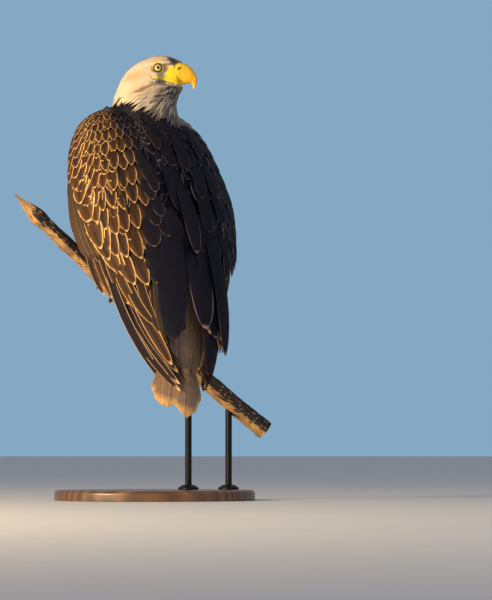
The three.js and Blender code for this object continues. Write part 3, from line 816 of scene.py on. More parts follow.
def makeSkin():
    points, normals = formPoints.copy(), formNormals
    face = faceParts(points)
    seen = headView(points)
    onHead = smooth(hoodEdge(points), -20, 30)
    onFace = smooth(seen[:, 0], -8, 16) * smooth(seen[:, 2], -48, -36)
    depth = mix(mix(skinLooks["bodyDepth"], skinLooks["headDepth"], onHead), skinLooks["faceDepth"], onFace)
    rise = face["brow"] * skinLooks["browOut"] - face["socket"] * skinLooks["socketIn"]
    rise += face["gape"] * 2.0 - face["line"] * 1.6 + face["lores"] * smooth(seen[:, 0], 12, 30) * 1.6
    near = (np.abs(seen[:, 0]) < 60) & (np.abs(seen[:, 2]) < 60)
    points = points + normals * (np.where(near, rise, 0) - depth)[:, None] * mm
    points = relaxed(points, formEdges, 2)
    ring = 0.55 * np.exp(-(((face["toEye"] - 12.2) / 1.3) ** 2)) * smooth(np.abs(seen[:, 1]), 12, 16)
    yellow = np.where(near, np.maximum(np.maximum(face["gape"], face["lores"]), ring), 0)
    # dark skin inside the lids' ring, and painted shade along the mouth line
    lidDarkAndMouthShade = np.where(near, face["line"] * 0.9 + np.exp(-((face["toEye"] / 9.6) ** 8)) * 0.8, 0)
    attributes = {
        "plume": plumeMarks(points, np.full(len(points), 0.35), hang=22.0),
        "paintedShade": paintedShadeOf(points),
        "yellow": np.clip(yellow * 1.2, 0, 1),
        "lidDarkAndMouthShade": np.clip(lidDarkAndMouthShade, 0, 1),
    }
    vane = np.tile((0.5, 0.3), (len(points), 1))
    skin = makeMesh("skin", points, formFaces, plumageSkin, {"vane": vane}, attributes, sharp=180)
    return shown(skin, "plumage_brown", *fleshNodes)


makeSkin()
print("skin made")


# small feathers: closed vanes with a raised middle, all joined into one piece

vaneRows = {
    "small": (0.0, 0.4, 0.75, 1.0), "covert": (0.0, 0.3, 0.55, 0.75, 0.89, 0.97, 1.0),
    "long": (0.0, 0.12, 0.25, 0.38, 0.5, 0.62, 0.73, 0.82, 0.89, 0.945, 0.98, 1.0),
}
bakePatch = 0.003


def vaneOutline(v, widest, sharpness, roundness, root=0.5):
    # half width along a vane: narrow at its root, widest partway, closed at its tip
    rising = root + (1 - root) * np.sin(np.clip(v / widest, 0, 1) * np.pi / 2)
    x = np.clip((v - widest) / (1 - widest), 0, 1)
    return np.maximum(rising * (1 - x ** sharpness) ** roundness, 0.04)


def settled(points, reach):
    # nearest places on the form, or the points themselves where the form ends
    places, normals = points.copy(), np.zeros_like(points)
    for i, p in enumerate(points.tolist()):
        spot, normal, _, gap = formTree.find_nearest(p)
        normals[i] = normal
        if gap < reach[i]:
            places[i] = spot
    return places, normals


def clearOfForm(points, clearance):
    # each place moved out where it lies in the form or under its clearance, and the way it moved
    moves = np.zeros_like(points)
    for i, p in enumerate(points.tolist()):
        spot, normal, _, _ = formTree.find_nearest(p, 0.03)
        if spot is not None:
            above = (Vector(p) - spot).dot(normal)
            if above < clearance:
                moves[i] = np.array(normal) * (clearance - above)
    return moves


def centreLines(roots, normals, flow, length):
    # the surface under each feather at its root, middle and tip
    flow = unit(flow - dot(flow, normals) * normals)
    middle, middleNormals = settled(roots + flow * length[:, None] * 0.5, length * 0.3)
    onward = middle - roots
    onward = unit(onward - dot(onward, middleNormals) * middleNormals)
    tip, tipNormals = settled(middle + onward * length[:, None] * 0.5, length * 0.3)
    return (roots, middle, tip), (normals, middleNormals, tipNormals)


def plumePiece(name, stations, normals, length, half, unwrap, values, paintedShade, look, material):
    v = np.array(vaneRows[look["rows"]])
    u = np.array(look["columns"])
    count, rows, columns = len(length), len(v), len(u)
    s0, s1, s2 = (s[:, None, :] for s in stations)
    n0, n1, n2 = (n[:, None, :] for n in normals)
    t = v[None, :, None]
    w0, w1, w2 = 2 * (t - 0.5) * (t - 1), -4 * t * (t - 1), 2 * t * (t - 0.5)
    centre = s0 * w0 + s1 * w1 + s2 * w2
    up = unit(n0 * w0 + n1 * w1 + n2 * w2)
    lift = look["lift"] * (0.6 + 0.8 * rng.random((count, 1, 1)))
    lift = lift + look.get("hackleLift", 0) * smooth(-hoodEdge(stations[0]), -26, -4)[:, None, None]
    small = np.clip(length / 0.055, 0.3, 1)[:, None, None]
    rise = (-look["depth"] * (1 - t) ** 1.3 + lift * t ** 2) * small * mm
    heading = unit(np.gradient(centre, axis=1))
    side = unit(np.cross(heading, up))
    roll = rng.normal(look.get("shingle", 0), look["roll"], (count, 1, 1))
    up = unit(up + side * roll)
    side = unit(np.cross(heading, up))
    wide = vaneOutline(v, look["widest"], look["sharpness"], look["roundness"], look.get("root", 0.5))
    reach = half[:, None, None] * wide[None, :, None]
    across = u[None, None, :, None]
    ridge = look["camber"] * reach[..., None] * (1 - across ** 2)
    points = (centre + up * rise)[:, :, None] + side[:, :, None] * across * reach[..., None]
    points = points + up[:, :, None] * ridge
    ragged = rng.normal(0, look["ragged"], (count, 1, columns, 1)) * (t[..., None] ** 6)
    points = points + heading[:, :, None] * ragged * length[:, None, None, None]
    top = gridFaces(rows, columns)
    first = np.arange(rows - 1) * columns
    under = np.stack([first, first + columns, first + 2 * columns - 1, first + columns - 1], axis=1)
    ends = np.array([np.arange(columns), np.arange(rows * columns - 1, (rows - 1) * columns - 1, -1)])
    start = (np.arange(count) * rows * columns)[:, None, None]
    quads = (np.concatenate([top[:, ::-1], under[:, ::-1]])[None] + start).reshape(-1, 4)
    caps = (ends[:, ::-1][None] + start).reshape(-1, columns)
    uv = np.stack(np.broadcast_arrays((u[None] + 1) / 2, v[:, None]), axis=-1)
    uv = np.broadcast_to(uv[None], (count, rows, columns, 2))
    bake = unwrap[:, None, None] + (uv - 0.5) * bakePatch
    each = np.repeat(np.arange(count), rows * columns)
    layers = {"OFBake": bake, "vane": uv}
    attributes = {"plume": values[each], "paintedShade": paintedShade[each]}
    return makeMesh(name, points, [quads, caps], material, layers, attributes, sharp=70)


def onSkin(groups, share, tries):
    # random places on the form's faces, chosen by area and by a wanted share
    a, b, c, d = [], [], [], []
    for group in groups:
        for corner, store in zip((0, 1, 2, -1), (a, b, c, d)):
            store.append(group[:, corner])
    a, b, c, d = (formPoints[np.concatenate(store)] for store in (a, b, c, d))
    area = np.linalg.norm(np.cross(c - a, d - b), axis=1) / 2
    weight = area * share((a + c) / 2)
    face = rng.choice(len(area), tries, p=weight / weight.sum())
    s, t = rng.random((2, tries, 1))
    spots = mix(mix(a[face], b[face], s), mix(d[face], c[face], s), t)
    return spots, unit(np.cross(c - a, d - b)[face])


def pointTree(points):
    tree = KDTree(len(points))
    for i, p in enumerate(points.tolist()):
        tree.insert(p, i)
    tree.balance()
    return tree


def thinned(spots, gap):
    # places kept so that none is nearer to another than its gap
    tree = pointTree(spots)
    alive = np.ones(len(spots), bool)
    kept = []
    for i, p in enumerate(spots.tolist()):
        if alive[i]:
            kept.append(i)
            for _, j, _ in tree.find_range(p, gap[i]):
                alive[j] = False
    return np.array(kept)


bodyDown = bodyMatrix[:3, :3] @ np.array([0, 0, -1.0])
billTip = placed(headMatrix, np.array([62.0, 30.0, -8.0]))


def featherFlow(spots, normals):
    # away from the bill over the head and neck, then down the body
    away = unit(spots - billTip)
    reach = np.linalg.norm(spots - billTip, axis=1)[:, None]
    angle, height = bodyView(spots)
    mantle = smooth(height, 60, 200) * (1 - smooth(np.abs(angle - 5), 40, 75))
    mantle = mantle * smooth(-hoodEdge(spots), 0, 12)
    down = bodyDown + mantle[:, None] * 0.9 * bodyMatrix[:3, 0]
    flow = mix(away, down, np.maximum(smooth(reach, 0.17, 0.34), mantle[:, None]))
    return unit(flow - dot(flow, normals) * normals)


ringShares, ringTurns = np.linspace(0, 1.8, 260), np.linspace(0, 2 * np.pi, 400, endpoint=False)


def hoodUnwrap(spots):
    # the head and neck unrolled: round them, and down them
    share, turn = np.meshgrid(ringShares, ringTurns, indexing="ij")
    tree = pointTree(placed(headMatrix, headRing(headRows, share, turn)).reshape(-1, 3))
    nearest = np.array([tree.find(p)[1] for p in spots.tolist()])
    row, column = np.divmod(nearest, len(ringTurns))
    return np.stack([0.01 + 0.98 * column / len(ringTurns), 0.01 + 0.98 * row / len(ringShares)], axis=1)


def bodyUnwrap(spots):
    angle, height = bodyView(spots)
    return np.stack([0.5 + angle / 367, np.clip((height + 440) / 760, 0.01, 0.99)], axis=1)


def sprinkled(name, share, gap, size, look, unwrap, tries, material, slot):
    spots, normals = onSkin(formFaces, share, tries)
    kept = thinned(spots, gap(spots) * mm)
    spots, normals = spots[kept], normals[kept]
    order = np.argsort(-spots[:, 2])
    spots, normals = spots[order], normals[order]
    length, half = (part * mm for part in size(spots))
    flow = featherFlow(spots, normals)
    stray = rng.normal(0, look["stray"], (len(spots), 1))
    flow = flow + np.cross(normals, flow) * stray
    stations, stationNormals = centreLines(spots, normals, flow, length)
    chance = rng.random(len(spots))
    values = plumeMarks(spots, chance)
    piece = plumePiece(
        name, stations, stationNormals, length, half * (0.9 + 0.2 * chance), unwrap(spots), values,
        paintedShadeOf(spots), look, material,
    )
    print(name, "has", len(spots), "feathers and", len(piece.data.polygons), "faces")
    return shown(piece, slot)


# coats of small feathers

def isHood(spots):
    return hoodEdge(spots) > 1.5


def bareFace(spots):
    # where the face carries no feathers: eye, lores, gape and the bill's root
    face = faceParts(spots)
    seen = headView(spots)
    clear = (face["toEye"] < 12.0) & (np.abs(seen[:, 1]) > 15) & (seen[:, 2] < 8.2)
    clear |= (face["gape"] > 0.22) | (face["lores"] > 0.4)
    clear |= (seen[:, 0] > 40) & (seen[:, 2] > -33) & (seen[:, 2] < 6)
    return clear & (seen[:, 0] > -20)


hoodLooks = {
    "rows": "small", "columns": (-1, 0, 1), "depth": 2.2, "lift": 0.9, "camber": 0.22, "roll": 0.06,
    "stray": 0.09, "hackleLift": 3.2, "widest": 0.35, "sharpness": 1.5, "roundness": 0.9, "ragged": 0.02,
    "tries": 60000,
}
bodyLooks = {
    "rows": "covert", "columns": (-1, -0.55, 0, 0.55, 1), "depth": 5.0, "lift": 1.2, "camber": 0.16,
    "roll": 0.07, "stray": 0.10, "widest": 0.55, "sharpness": 2.2, "roundness": 0.55, "ragged": 0.008,
    "tries": 40000,
}


def hoodGrowth(spots):
    # 0 by the bill, 1 at the nape, 2 where the neck's hackles hang over the mantle
    reach = np.linalg.norm(spots - billTip, axis=1) / mm
    return smooth(reach, 30, 110) + smooth(-hoodEdge(spots), -75, -8)


def hoodGap(spots):
    return 1.5 + 1.55 * hoodGrowth(spots)


def hoodSize(spots):
    growth = hoodGrowth(spots)
    return 5.5 + 11 * growth + 4.5 * growth ** 2, 1.3 + 1.25 * growth


sprinkled(
    "hoodCoat", lambda p: (isHood(p) & ~bareFace(p)) * (1.0 / hoodGap(p) ** 2), hoodGap, hoodSize, hoodLooks,
    hoodUnwrap, hoodLooks["tries"], plumageSmall, "plumage_white",
)


def offWings(spots):
    # 1 where the body's own feathers show, 0 under the wing's rows
    angle, height = bodyView(spots)
    out = np.ones(len(spots))
    for side, sign in sideSign.items():
        onSheet = placed(bodyMatrix, fold(side, np.clip(angle * sign, 0, 180), height, 0.0))
        gap = np.linalg.norm(onSheet - spots, axis=1) / mm
        near = (gap < 11) | ((gap < 42) & (height < -20))
        inside = near & (angle * sign > 28) & (angle * sign < 112) & (height < 250)
        out[inside] = 0
    return out * (height > -268)


def bodyPart(spots):
    # size of a body feather from 0, by the neck and on the legs, to 1, low on the mantle
    angle, height = bodyView(spots)
    back = 1 - smooth(np.abs(angle), 40, 80)
    low = smooth(-height, -262, -60)
    return mix(0.22 + 0.16 * smooth(-height, -200, 100), low, back) * smooth(-hoodEdge(spots), 2, 60)


def bodyGap(spots):
    return 5.0 + 13.0 * bodyPart(spots)


def bodySize(spots):
    part = bodyPart(spots)
    return 24 + 46 * part, 4.4 + 11.0 * part


sprinkled(
    "bodyCoat", lambda p: (hoodEdge(p) < -27) * offWings(p) / bodyGap(p) ** 2, bodyGap, bodySize, bodyLooks,
    bodyUnwrap, bodyLooks["tries"], plumageCovert, "plumage_brown",
)


# the wing's coverts, in rows over the fold

wingLooks = {
    "leadingAngle": 112, "innerAngle": 34, "top": 262, "rows": 12, "firstDrop": 0.05, "evenly": 0.36,
    "halfTop": 6.0, "halfLow": 17.0, "lengthTop": 26, "lengthLow": 92, "crowding": 1.62, "outermost": -0.03,
    "innermost": 1.24, "outerGrowth": 0.45, "shareStray": 0.004, "dropStray": 0.007,
}
# share of the way from the wing's leading edge to its inner edge, and the height its last coverts reach
covertTips = {
    "left": [(-0.1, 60), (0.1, 88), (0.28, 92), (0.41, 56), (0.49, -8), (0.56, -94), (0.65, -152),
             (0.82, -182), (1.2, -182)],
    "right": [(-0.1, -10), (0.1, -30), (0.3, -60), (0.5, -100), (0.7, -140), (0.9, -165), (1.2, -170)],
}
covertLooks = dict(
    bodyLooks, depth=5.5, lift=1.9, camber=0.13, widest=0.5, sharpness=1.8, roundness=0.72, ragged=0.003,
    roll=0.02, shingle=0.03,
)


def covertsEnd(side, share):
    shape = np.shape(share)
    return along(covertTips[side], np.ravel(share)).reshape(shape)


def onWing(side, share, drop, inset=0.0):
    angle = mix(wingLooks["leadingAngle"], wingLooks["innerAngle"], share)
    height = mix(wingLooks["top"], covertsEnd(side, share), drop)
    proud = 4 * np.sin(np.pi * np.clip(share, 0, 1)) ** 0.5
    return placed(bodyMatrix, fold(side, angle, height, inset - proud))


def covertRow(side, drop, half):
    # places along one row, spaced by the width of its feathers, which grows towards the leading edge
    share = np.linspace(wingLooks["outermost"], wingLooks["innermost"], 200)
    line = onWing(side, share, np.full(200, drop))
    wide = half * (1 + wingLooks["outerGrowth"] * (1 - smooth(share, 0.3, 0.75)))
    step = np.linalg.norm(np.diff(line, axis=0), axis=1) / mm / (wide[1:] * wingLooks["crowding"])
    run = np.concatenate([[0], np.cumsum(step)])
    at = np.arange(rng.random() * 0.3 + 0.2, run[-1], 1.0)
    return np.interp(at, run, share), np.interp(at, run, wide)


def evened(places, values, reach):
    # each value shared out among its neighbours
    apart = np.linalg.norm(places[:, None] - places[None], axis=2)
    weight = np.exp(-((apart / reach) ** 2))
    return weight @ values / weight.sum(axis=1, keepdims=True)


def wingCoverts(side):
    look, shares, drops, halves, lengths = wingLooks, [], [], [], []
    ladder = np.linspace(0, 1, look["rows"])
    spread = mix(look["firstDrop"], 1.0, ladder * look["evenly"] + ladder ** 2 * (1 - look["evenly"]))
    for step, drop in zip(ladder, spread):
        share, half = covertRow(side, drop, mix(look["halfTop"], look["halfLow"], step ** 1.1))
        count = len(share)
        shares.append(share + rng.normal(0, look["shareStray"], count))
        drops.append(np.full(count, drop) + rng.normal(0, look["dropStray"], count))
        halves.append(half * (0.93 + 0.14 * rng.random(count)))
        lengths.append(np.full(count, mix(look["lengthTop"], look["lengthLow"], step ** 1.2)))
    share, drop, half, length = (np.concatenate(part) for part in (shares, drops, halves, lengths))
    tall = look["top"] - covertsEnd(side, share)
    length = length * np.clip(tall / 400, 0.6, 1)
    stations, normals = [], []
    for back in (1.0, 0.5, 0.0):
        lean = 0.02 * (1 - back)
        place = onWing(side, share + lean, drop - back * length / tall)
        near = [onWing(side, share + lean + a, drop - back * length / tall + b)
                for a, b in ((0.01, 0), (-0.01, 0), (0, 0.01), (0, -0.01))]
        normal = unit(np.cross(near[0] - near[1], near[2] - near[3]))
        normal *= np.sign(dot(normal, place - bodyMatrix[:3, 3] * mm))
        push = evened(place, np.clip(dot(clearOfForm(place, 0.0015), normal), 0, 0.012), 0.016)
        stations.append(place + normal * push)
        normals.append(normal)
    chance = rng.random(len(share))
    middle = stations[1]
    piece = plumePiece(
        "wingCoverts_" + side, stations, normals, length * mm, half * mm, bodyUnwrap(stations[0]),
        plumeMarks(middle, chance), paintedShadeOf(middle),
        dict(covertLooks, shingle=-sideSign[side] * covertLooks["shingle"]), plumageCovert,
    )
    print(piece.name, "has", len(share), "feathers")
    return shown(piece, "plumage_brown")


for side in sideSign:
    wingCoverts(side)


# flight feathers: each a stiff vane on the fold, with its shaft and a thickness of its own

quillLooks = {
    "secondaries": {"count": 13, "wide": 1.32, "tilt": 3.2, "inset": 2.0, "roundness": 0.5, "widest": 0.86},
    "primaries": {"count": 7, "wide": 1.5, "tilt": 4.2, "inset": 6.0, "roundness": 0.8, "widest": 0.55},
    "tertials": {"count": 4, "wide": 1.5, "tilt": 5.0, "inset": 3.0, "roundness": 0.52, "widest": 0.72},
    "tail": {"count": 12, "wide": 0.98, "tilt": 0.0, "inset": -1.0, "roundness": 0.5, "widest": 0.84},
    "stations": 26, "columns": (-1, -0.8, -0.5, -0.22, -0.05, 0, 0.05, 0.22, 0.5, 0.8, 1),
    "thick": 0.55, "shaft": 0.8, "camber": 1.3, "clear": 0.0012,
    "uneven": 0.012, "ripple": 0.25,
    "secondaryTips": {"left": (-164, -318), "right": (-286, -318)},
    "primaryTips": {"left": (35, 20), "right": (9, -2)}, "primarySweep": {"left": 2.4, "right": 1.3},
}


def secondaryPlace(side, share, down, inset):
    look = wingLooks
    root = mix(look["leadingAngle"] - 4, look["innerAngle"] + 1, share)
    angle = mix(root, mix(102, 30, share), down)
    across = np.clip((look["leadingAngle"] - angle) / (look["leadingAngle"] - look["innerAngle"]), 0, 1)
    outer, inner = quillLooks["secondaryTips"][side]
    low = mix(outer, inner, np.clip(share, 0, 1) ** 0.9)
    return placed(bodyMatrix, fold(side, angle, mix(covertsEnd(side, across) + 40, low, down), inset + 3))


def primaryPlace(side, share, down, inset):
    outer, inner = quillLooks["primaryTips"][side]
    sweep = down ** quillLooks["primarySweep"][side]
    angle = mix(mix(104, 72, share), mix(outer, inner, share), sweep)
    height = mix(-76, mix(-408, -364, share), down)
    return placed(bodyMatrix, fold(side, angle, height, inset + mix(16, 8, down)))


def tertialPlace(side, share, down, inset):
    angle = mix(mix(31, 8, share), mix(43, 9, share), smooth(down, 0.3, 1))
    height = mix(-40, mix(-318, -286, share), down)
    return placed(bodyMatrix, fold(side, angle, height, inset + mix(9, -5, smooth(down, 0, 0.4))))


tailLooks = {
    "root": (-9, -28, -301), "length": 150, "width": (62, 112), "turn": -15, "cup": 6, "hidden": 34,
    "half": 17, "lobes": {"left": (-0.47, 0.985), "right": (0.24, 1.04)},
}
# each tail feather's lobe, its place beside the lobe's middle, and its share of the length
tailRows = [
    ("left", -0.33, 0.84), ("left", -0.22, 0.91), ("left", -0.12, 0.96), ("right", 0.5, 0.79),
    ("right", 0.41, 0.86), ("right", 0.3, 0.915), ("left", 0.14, 0.95), ("left", 0.02, 1.0),
    ("right", 0.19, 0.955), ("right", -0.16, 0.955), ("right", 0.09, 0.99), ("right", -0.03, 1.0),
]


def tailPlace(off, down, inset):
    look, turn = tailLooks, rad(tailLooks["turn"])
    wide = mix(look["width"][0], look["width"][1], smooth(down, -0.2, 0.7)) / 2
    length = (look["length"] + look["hidden"]) * down - look["hidden"]
    x = look["root"][0] + off * wide * np.cos(turn) + np.sin(turn) * length
    z = look["root"][2] - np.cos(turn) * length + np.sin(turn) * off * wide * smooth(down, 0, 0.6)
    y = look["root"][1] + inset + (off * wide) ** 2 / 500 - look["cup"] * down
    return placed(bodyMatrix, np.stack([x, y, z + 0 * x], axis=-1))


def tailFeathers(side, share, down, inset):
    # the fan's shares turned into each feather's own place and length
    count = len(tailRows)
    number = np.clip(np.floor(share * count), 0, count - 1).astype(int)
    own = (share * count - number - 0.5) * 2
    lobes = np.array([tailLooks["lobes"][row[0]] for row in tailRows])
    beside = np.array([row[1] for row in tailRows])
    reach = np.array([row[2] for row in tailRows]) * lobes[:, 1]
    centre = lobes[:, 0] + beside
    half = tailLooks["half"] / (tailLooks["width"][1] / 2)
    stack = (count - 1 - number) * 0.75
    return tailPlace(centre[number] * (0.4 + 0.6 * down) + own * half, down * reach[number], inset + stack)


def quillPiece(name, side, kind, place, material, slot, node):
    look, u = quillLooks[kind], np.array(quillLooks["columns"])
    count = look["count"]
    t = np.linspace(0, 1, quillLooks["stations"]) ** 0.8
    wide = vaneOutline(t, look["widest"], 2.2, look["roundness"])
    n, v, across = np.meshgrid(np.arange(count), np.arange(len(t)), np.arange(len(u)), indexing="ij")
    down, reach, off = t[v], wide[v], u[across]
    chance = rng.random(count)
    uneven = rng.normal(0, quillLooks["uneven"], count)
    share = (n + 0.5 + off * reach * look["wide"] / 2) / count
    down = down * (1 + uneven[n] - 0.02 * np.abs(off) ** 2 * down)
    ripple = quillLooks["ripple"] * np.sin(off * 3 + chance[n] * 9) * down
    inset = look["inset"] + look["tilt"] * off / 2 - quillLooks["camber"] * (1 - off ** 2) * reach
    inset = inset - quillLooks["shaft"] * np.exp(-((off / 0.05) ** 2)) * (1 - 0.7 * down) + ripple
    columns, rows = len(u), len(t)
    base = place(side, share, down, look["inset"] + 0 * inset)
    proud = unit(place(side, share, down, look["inset"] - 5 + 0 * inset) - base)
    moves = clearOfForm(base.reshape(-1, 3), quillLooks["clear"]).reshape(base.shape)
    moves = proud * np.clip(dot(moves, proud), 0, 0.012)
    layers = [place(side, share, down, inset + depth) + moves for depth in (0.0, quillLooks["thick"])]
    points = np.stack(layers, axis=1).reshape(-1, 3)
    each = rows * columns
    top = gridFaces(rows, columns)
    edge = np.concatenate([
        np.arange(columns), np.arange(1, rows) * columns + columns - 1,
        (rows - 1) * columns + np.arange(columns - 2, -1, -1), np.arange(rows - 2, 0, -1) * columns,
    ])
    onward = np.roll(edge, -1)
    rimFaces = np.stack([edge, onward, onward + each, edge + each], axis=1)
    one = np.concatenate([top[:, ::-1], top + each, rimFaces])
    faces = (one[None] + (np.arange(count) * 2 * each)[:, None, None]).reshape(-1, 4)
    uv = np.stack([(off + 1) / 2, np.clip(v / (len(t) - 1), 0, 1)], axis=-1)
    uv = np.stack([uv, uv], axis=1).reshape(-1, 2)
    owner = np.repeat(np.arange(count), 2 * each)
    centre = points.reshape(count, -1, 3).mean(axis=1)
    spread = np.stack([(np.arange(count) + 0.5) / count, 0.5 + 0.2 * chance], axis=1)
    bake = spread[owner] + (uv - 0.5) * bakePatch
    values = plumeMarks(centre, chance)[owner]
    piece = makeMesh(
        name, points, [faces], material, {"OFBake": bake, "vane": uv}, {"plume": values}, sharp=50
    )
    outward(piece)
    print(name, "has", count, "feathers and", len(piece.data.polygons), "faces")
    return shown(piece, slot, node)


# the tail's brown-grey is a soiled white darkened further as painted shade; its golden tips are pale tips
# gilded as painted sunlight
quillColours = {
    "dark": (0.020, 0.016, 0.017), "warm": (0.10, 0.058, 0.032), "rim": (0.60, 0.36, 0.14),
    "shaft": (0.10, 0.07, 0.05), "tail": (0.36, 0.235, 0.16), "paleSunlitTip": (0.86, 0.50, 0.17),
    "tailSmudge": (0.19, 0.115, 0.075), "tailShaft": (0.56, 0.40, 0.27),
}


def quillMaterial(name, warmth):
    material, w = newMaterial(name, 0.5, Specular_IOR_Level=0.15)
    look = quillColours
    chance, _, rimAmount, _ = w.channels("plume")
    vane = w.vane()
    out = w.place(vanePattern, Map=vane, RimWidth=0.13, Barbs=90.0, Chance=chance)
    streak = w.noise(w.stretched(vane, (14, 1.2, 1)), 3.0, detail=4.0)
    base = w.blend(w.math("MULTIPLY", streak, warmth), look["dark"], look["warm"])
    # the warm brown and the pale rims follow the rim strength, which paints sunlight on the left wing and
    # shade on the right
    base = w.blend(w.math("MULTIPLY", rimAmount, warmth * 0.6), base, look["warm"])
    base = w.blend(w.math("MULTIPLY", out["Rim"], rimAmount), base, look["rim"])
    base = w.blend(w.math("MULTIPLY", out["Shaft"], 0.7), base, look["shaft"])
    base = w.mottled(base, 22.0, 0.2, 0.12)
    w.dress(base, out["Height"], 0.0004, 0.7)
    return material


def tailMaterial(name, tipped):
    material, w = newMaterial(name, 0.55, Specular_IOR_Level=0.15)
    look = quillColours
    vane = w.vane()
    out = w.place(vanePattern, Map=vane, RimWidth=0.12, Barbs=90.0, Chance=w.channels("plume")[0])
    streak = w.noise(w.stretched(vane, (20, 1.6, 1)), 2.6, detail=5.0, rough=0.7)
    base = w.blend(w.ramp(streak, 0.42, 0.68), look["tail"], look["tailSmudge"])
    tip = w.ramp(w.math("ADD", out["Along"], w.math("MULTIPLY", streak, 0.14)), 0.86, 1.0)
    # pale tips, gilded as painted sunlight
    base = w.blend(w.math("MULTIPLY", tip, tipped), base, look["paleSunlitTip"])
    base = w.blend(w.math("MULTIPLY", out["Rim"], 0.1 + 0.25 * tipped), base, look["paleSunlitTip"])
    base = w.blend(w.math("MULTIPLY", out["Shaft"], 0.6), base, look["tailShaft"])
    base = w.mottled(base, 24.0, 0.16, 0.1)
    w.dress(base, out["Height"], 0.0004, 0.7)
    return material


secondaryVane = quillMaterial("secondaryVane", 0.75)
primaryVane = quillMaterial("primaryVane", 0.35)
tertialVane = quillMaterial("tertialVane", 0.25)
tailVane = tailMaterial("tailVane", 1.0)
tailCovertVane = tailMaterial("tailCovertVane", 0.0)
quillRows = {
    "secondaries": ("secondaryRow_", secondaryPlace, secondaryVane),
    "primaries": ("primaryRow_", primaryPlace, primaryVane),
    "tertials": ("tertialRow_", tertialPlace, tertialVane),
}
for side in sideSign:
    for kind, (name, place, material) in quillRows.items():
        quillPiece(name + side, side, kind, place, material, "flight_feathers", kind + "_" + side)
quillPiece("tailFan", "left", "tail", tailFeathers, tailVane, "tail_feathers", "tail")
print("flight feathers made")


# big feathers laid one by one over the back and the right wing, as they are seen from the front view

laidLooks = dict(
    bodyLooks, rows="long", columns=(-1, -0.8, -0.45, -0.12, 0, 0.12, 0.45, 0.8, 1), depth=0.0, lift=0.0,
    camber=0.09, roll=0.0, widest=0.5, sharpness=2.3, roundness=0.55, ragged=0.0, root=0.7,
)
# root x and z, tip x and z in the front view, half width, clearance at root and tip, rim, bend and warmth,
# this last being painted sunlight
laidFeathers = {
    "scapulars": [
        (-38, 735, -13, 666, 11, 2, 4, 0.62, 0, 0.08), (-15, 704, 0, 645, 13, 2, 5, 0.6, 0, 0.08),
        (-25, 676, -6, 630, 13, 2, 5, 0.75, 0, 0.08), (-8, 645, 13, 594, 14, 2, 6, 0.55, 0, 0.08),
        (-10, 622, 4, 575, 14, 2, 5, 0.55, 0, 0.08), (6, 606, 27, 552, 15, 2, 6, 0.5, 0, 0.02),
        (-15, 594, -2, 531, 19, 2, 5, 0.6, 0, 0.08), (-6, 540, 6, 454, 20, 1, 4, 0.45, 0, 0.08),
        (21, 610, 54, 500, 21, 3, 7, 0.35, 0, 0.02), (25, 700, 56, 600, 22, 3, 8, 0.35, 0, 0.02),
        (50, 665, 84, 515, 18, 4, 9, 0.42, 0, 0.02), (84, 700, 96, 632, 17, 3, 6, 0.25, 0, 0.02),
        (103, 696, 127, 632, 16, 3, 6, 0.45, 0, 0.02), (120, 645, 142, 578, 16, 3, 6, 0.32, 0, 0.02),
        (96, 640, 112, 560, 18, 3, 6, 0.18, 0, 0.02), (109, 572, 128, 499, 19, 3, 6, 0.3, 0, 0.02),
        (136, 560, 152, 480, 12, 2, 5, 0.4, 0, 0.02), (10, 760, 34, 700, 15, 2, 5, 0.3, 0, 0.02),
        (40, 765, 66, 690, 16, 2, 5, 0.25, 0, 0.02), (70, 775, 92, 715, 14, 2, 5, 0.22, 0, 0.02),
        (-14, 790, 6, 735, 12, 2, 5, 0.3, 0, 0.08), (86, 600, 100, 520, 18, 2, 5, 0.15, 0, 0.02),
    ],
    "tertials": [
        (33, 560, 38, 334, 31, 3, 7, 0.04, 0, 0.0), (68, 560, 103, 357, 28, 6, 7, 0.9, 0, 0.03),
        (112, 540, 141, 301, 20, 8, 7, 0.7, -8, 0.03), (122, 530, 142, 345, 12, 4, 4, 0.5, -7, 0.0),
        (96, 520, 124, 338, 20, 5, 4, 0.4, 0, 0.0),
    ],
    "primaryEnds": [
        (112, 440, 101, 227, 16, -4, 4, 0.05, 0, 0.1), (122, 440, 111, 262, 15, -6, 0, 0.1, 0, 0.1),
    ],
    "leftQuills": [
        (-107, 500, 36, 222, 13, -6, -8, 0.7, 19, 0.2), (-90, 464, 51, 228, 9.5, -4, -6, 1.0, 20, 0.2),
        (-77, 462, 50, 243, 9, -3, -5, 1.0, 16, 0.2), (-63, 454, 48, 268, 9, -2, -3, 0.55, 11, 0.2),
        (-52, 441, 36, 284, 12, -1, 1, 0.8, 0, 1.0),
        (-149, 563, -107, 430, 10, -5, -1, 0.8, 6, 0.9), (-136, 556, -90, 424, 10, -5, 0, 0.8, 7, 0.9),
        (-122, 546, -73, 421, 10, -5, 1, 0.8, 7, 0.9), (-107, 530, -54, 411, 10, -5, 1, 0.8, 7, 0.9),
        (-90, 515, -30, 395, 10, -5, 1, 0.8, 8, 0.8), (-67, 500, 4, 365, 9.5, -6, 1, 0.9, 14, 0.7),
        (-40, 493, 13, 348, 9, -6, 2, 0.8, 7, 0.6), (-6, 472, 23, 334, 8.5, -6, 2, 0.7, 6, 0.35),
    ],
    "tailCoverts": [
        (50, 455, 44, 268, 17, 2, 2, 0.0, 0, 0.1), (64, 465, 64, 252, 17, 3, 3, 0.0, 0, 0.1),
        (82, 460, 82, 262, 16, 2, 2, 0.0, 0, 0.1), (94, 440, 94, 285, 14, 1, 1, 0.0, 0, 0.1),
    ],
}


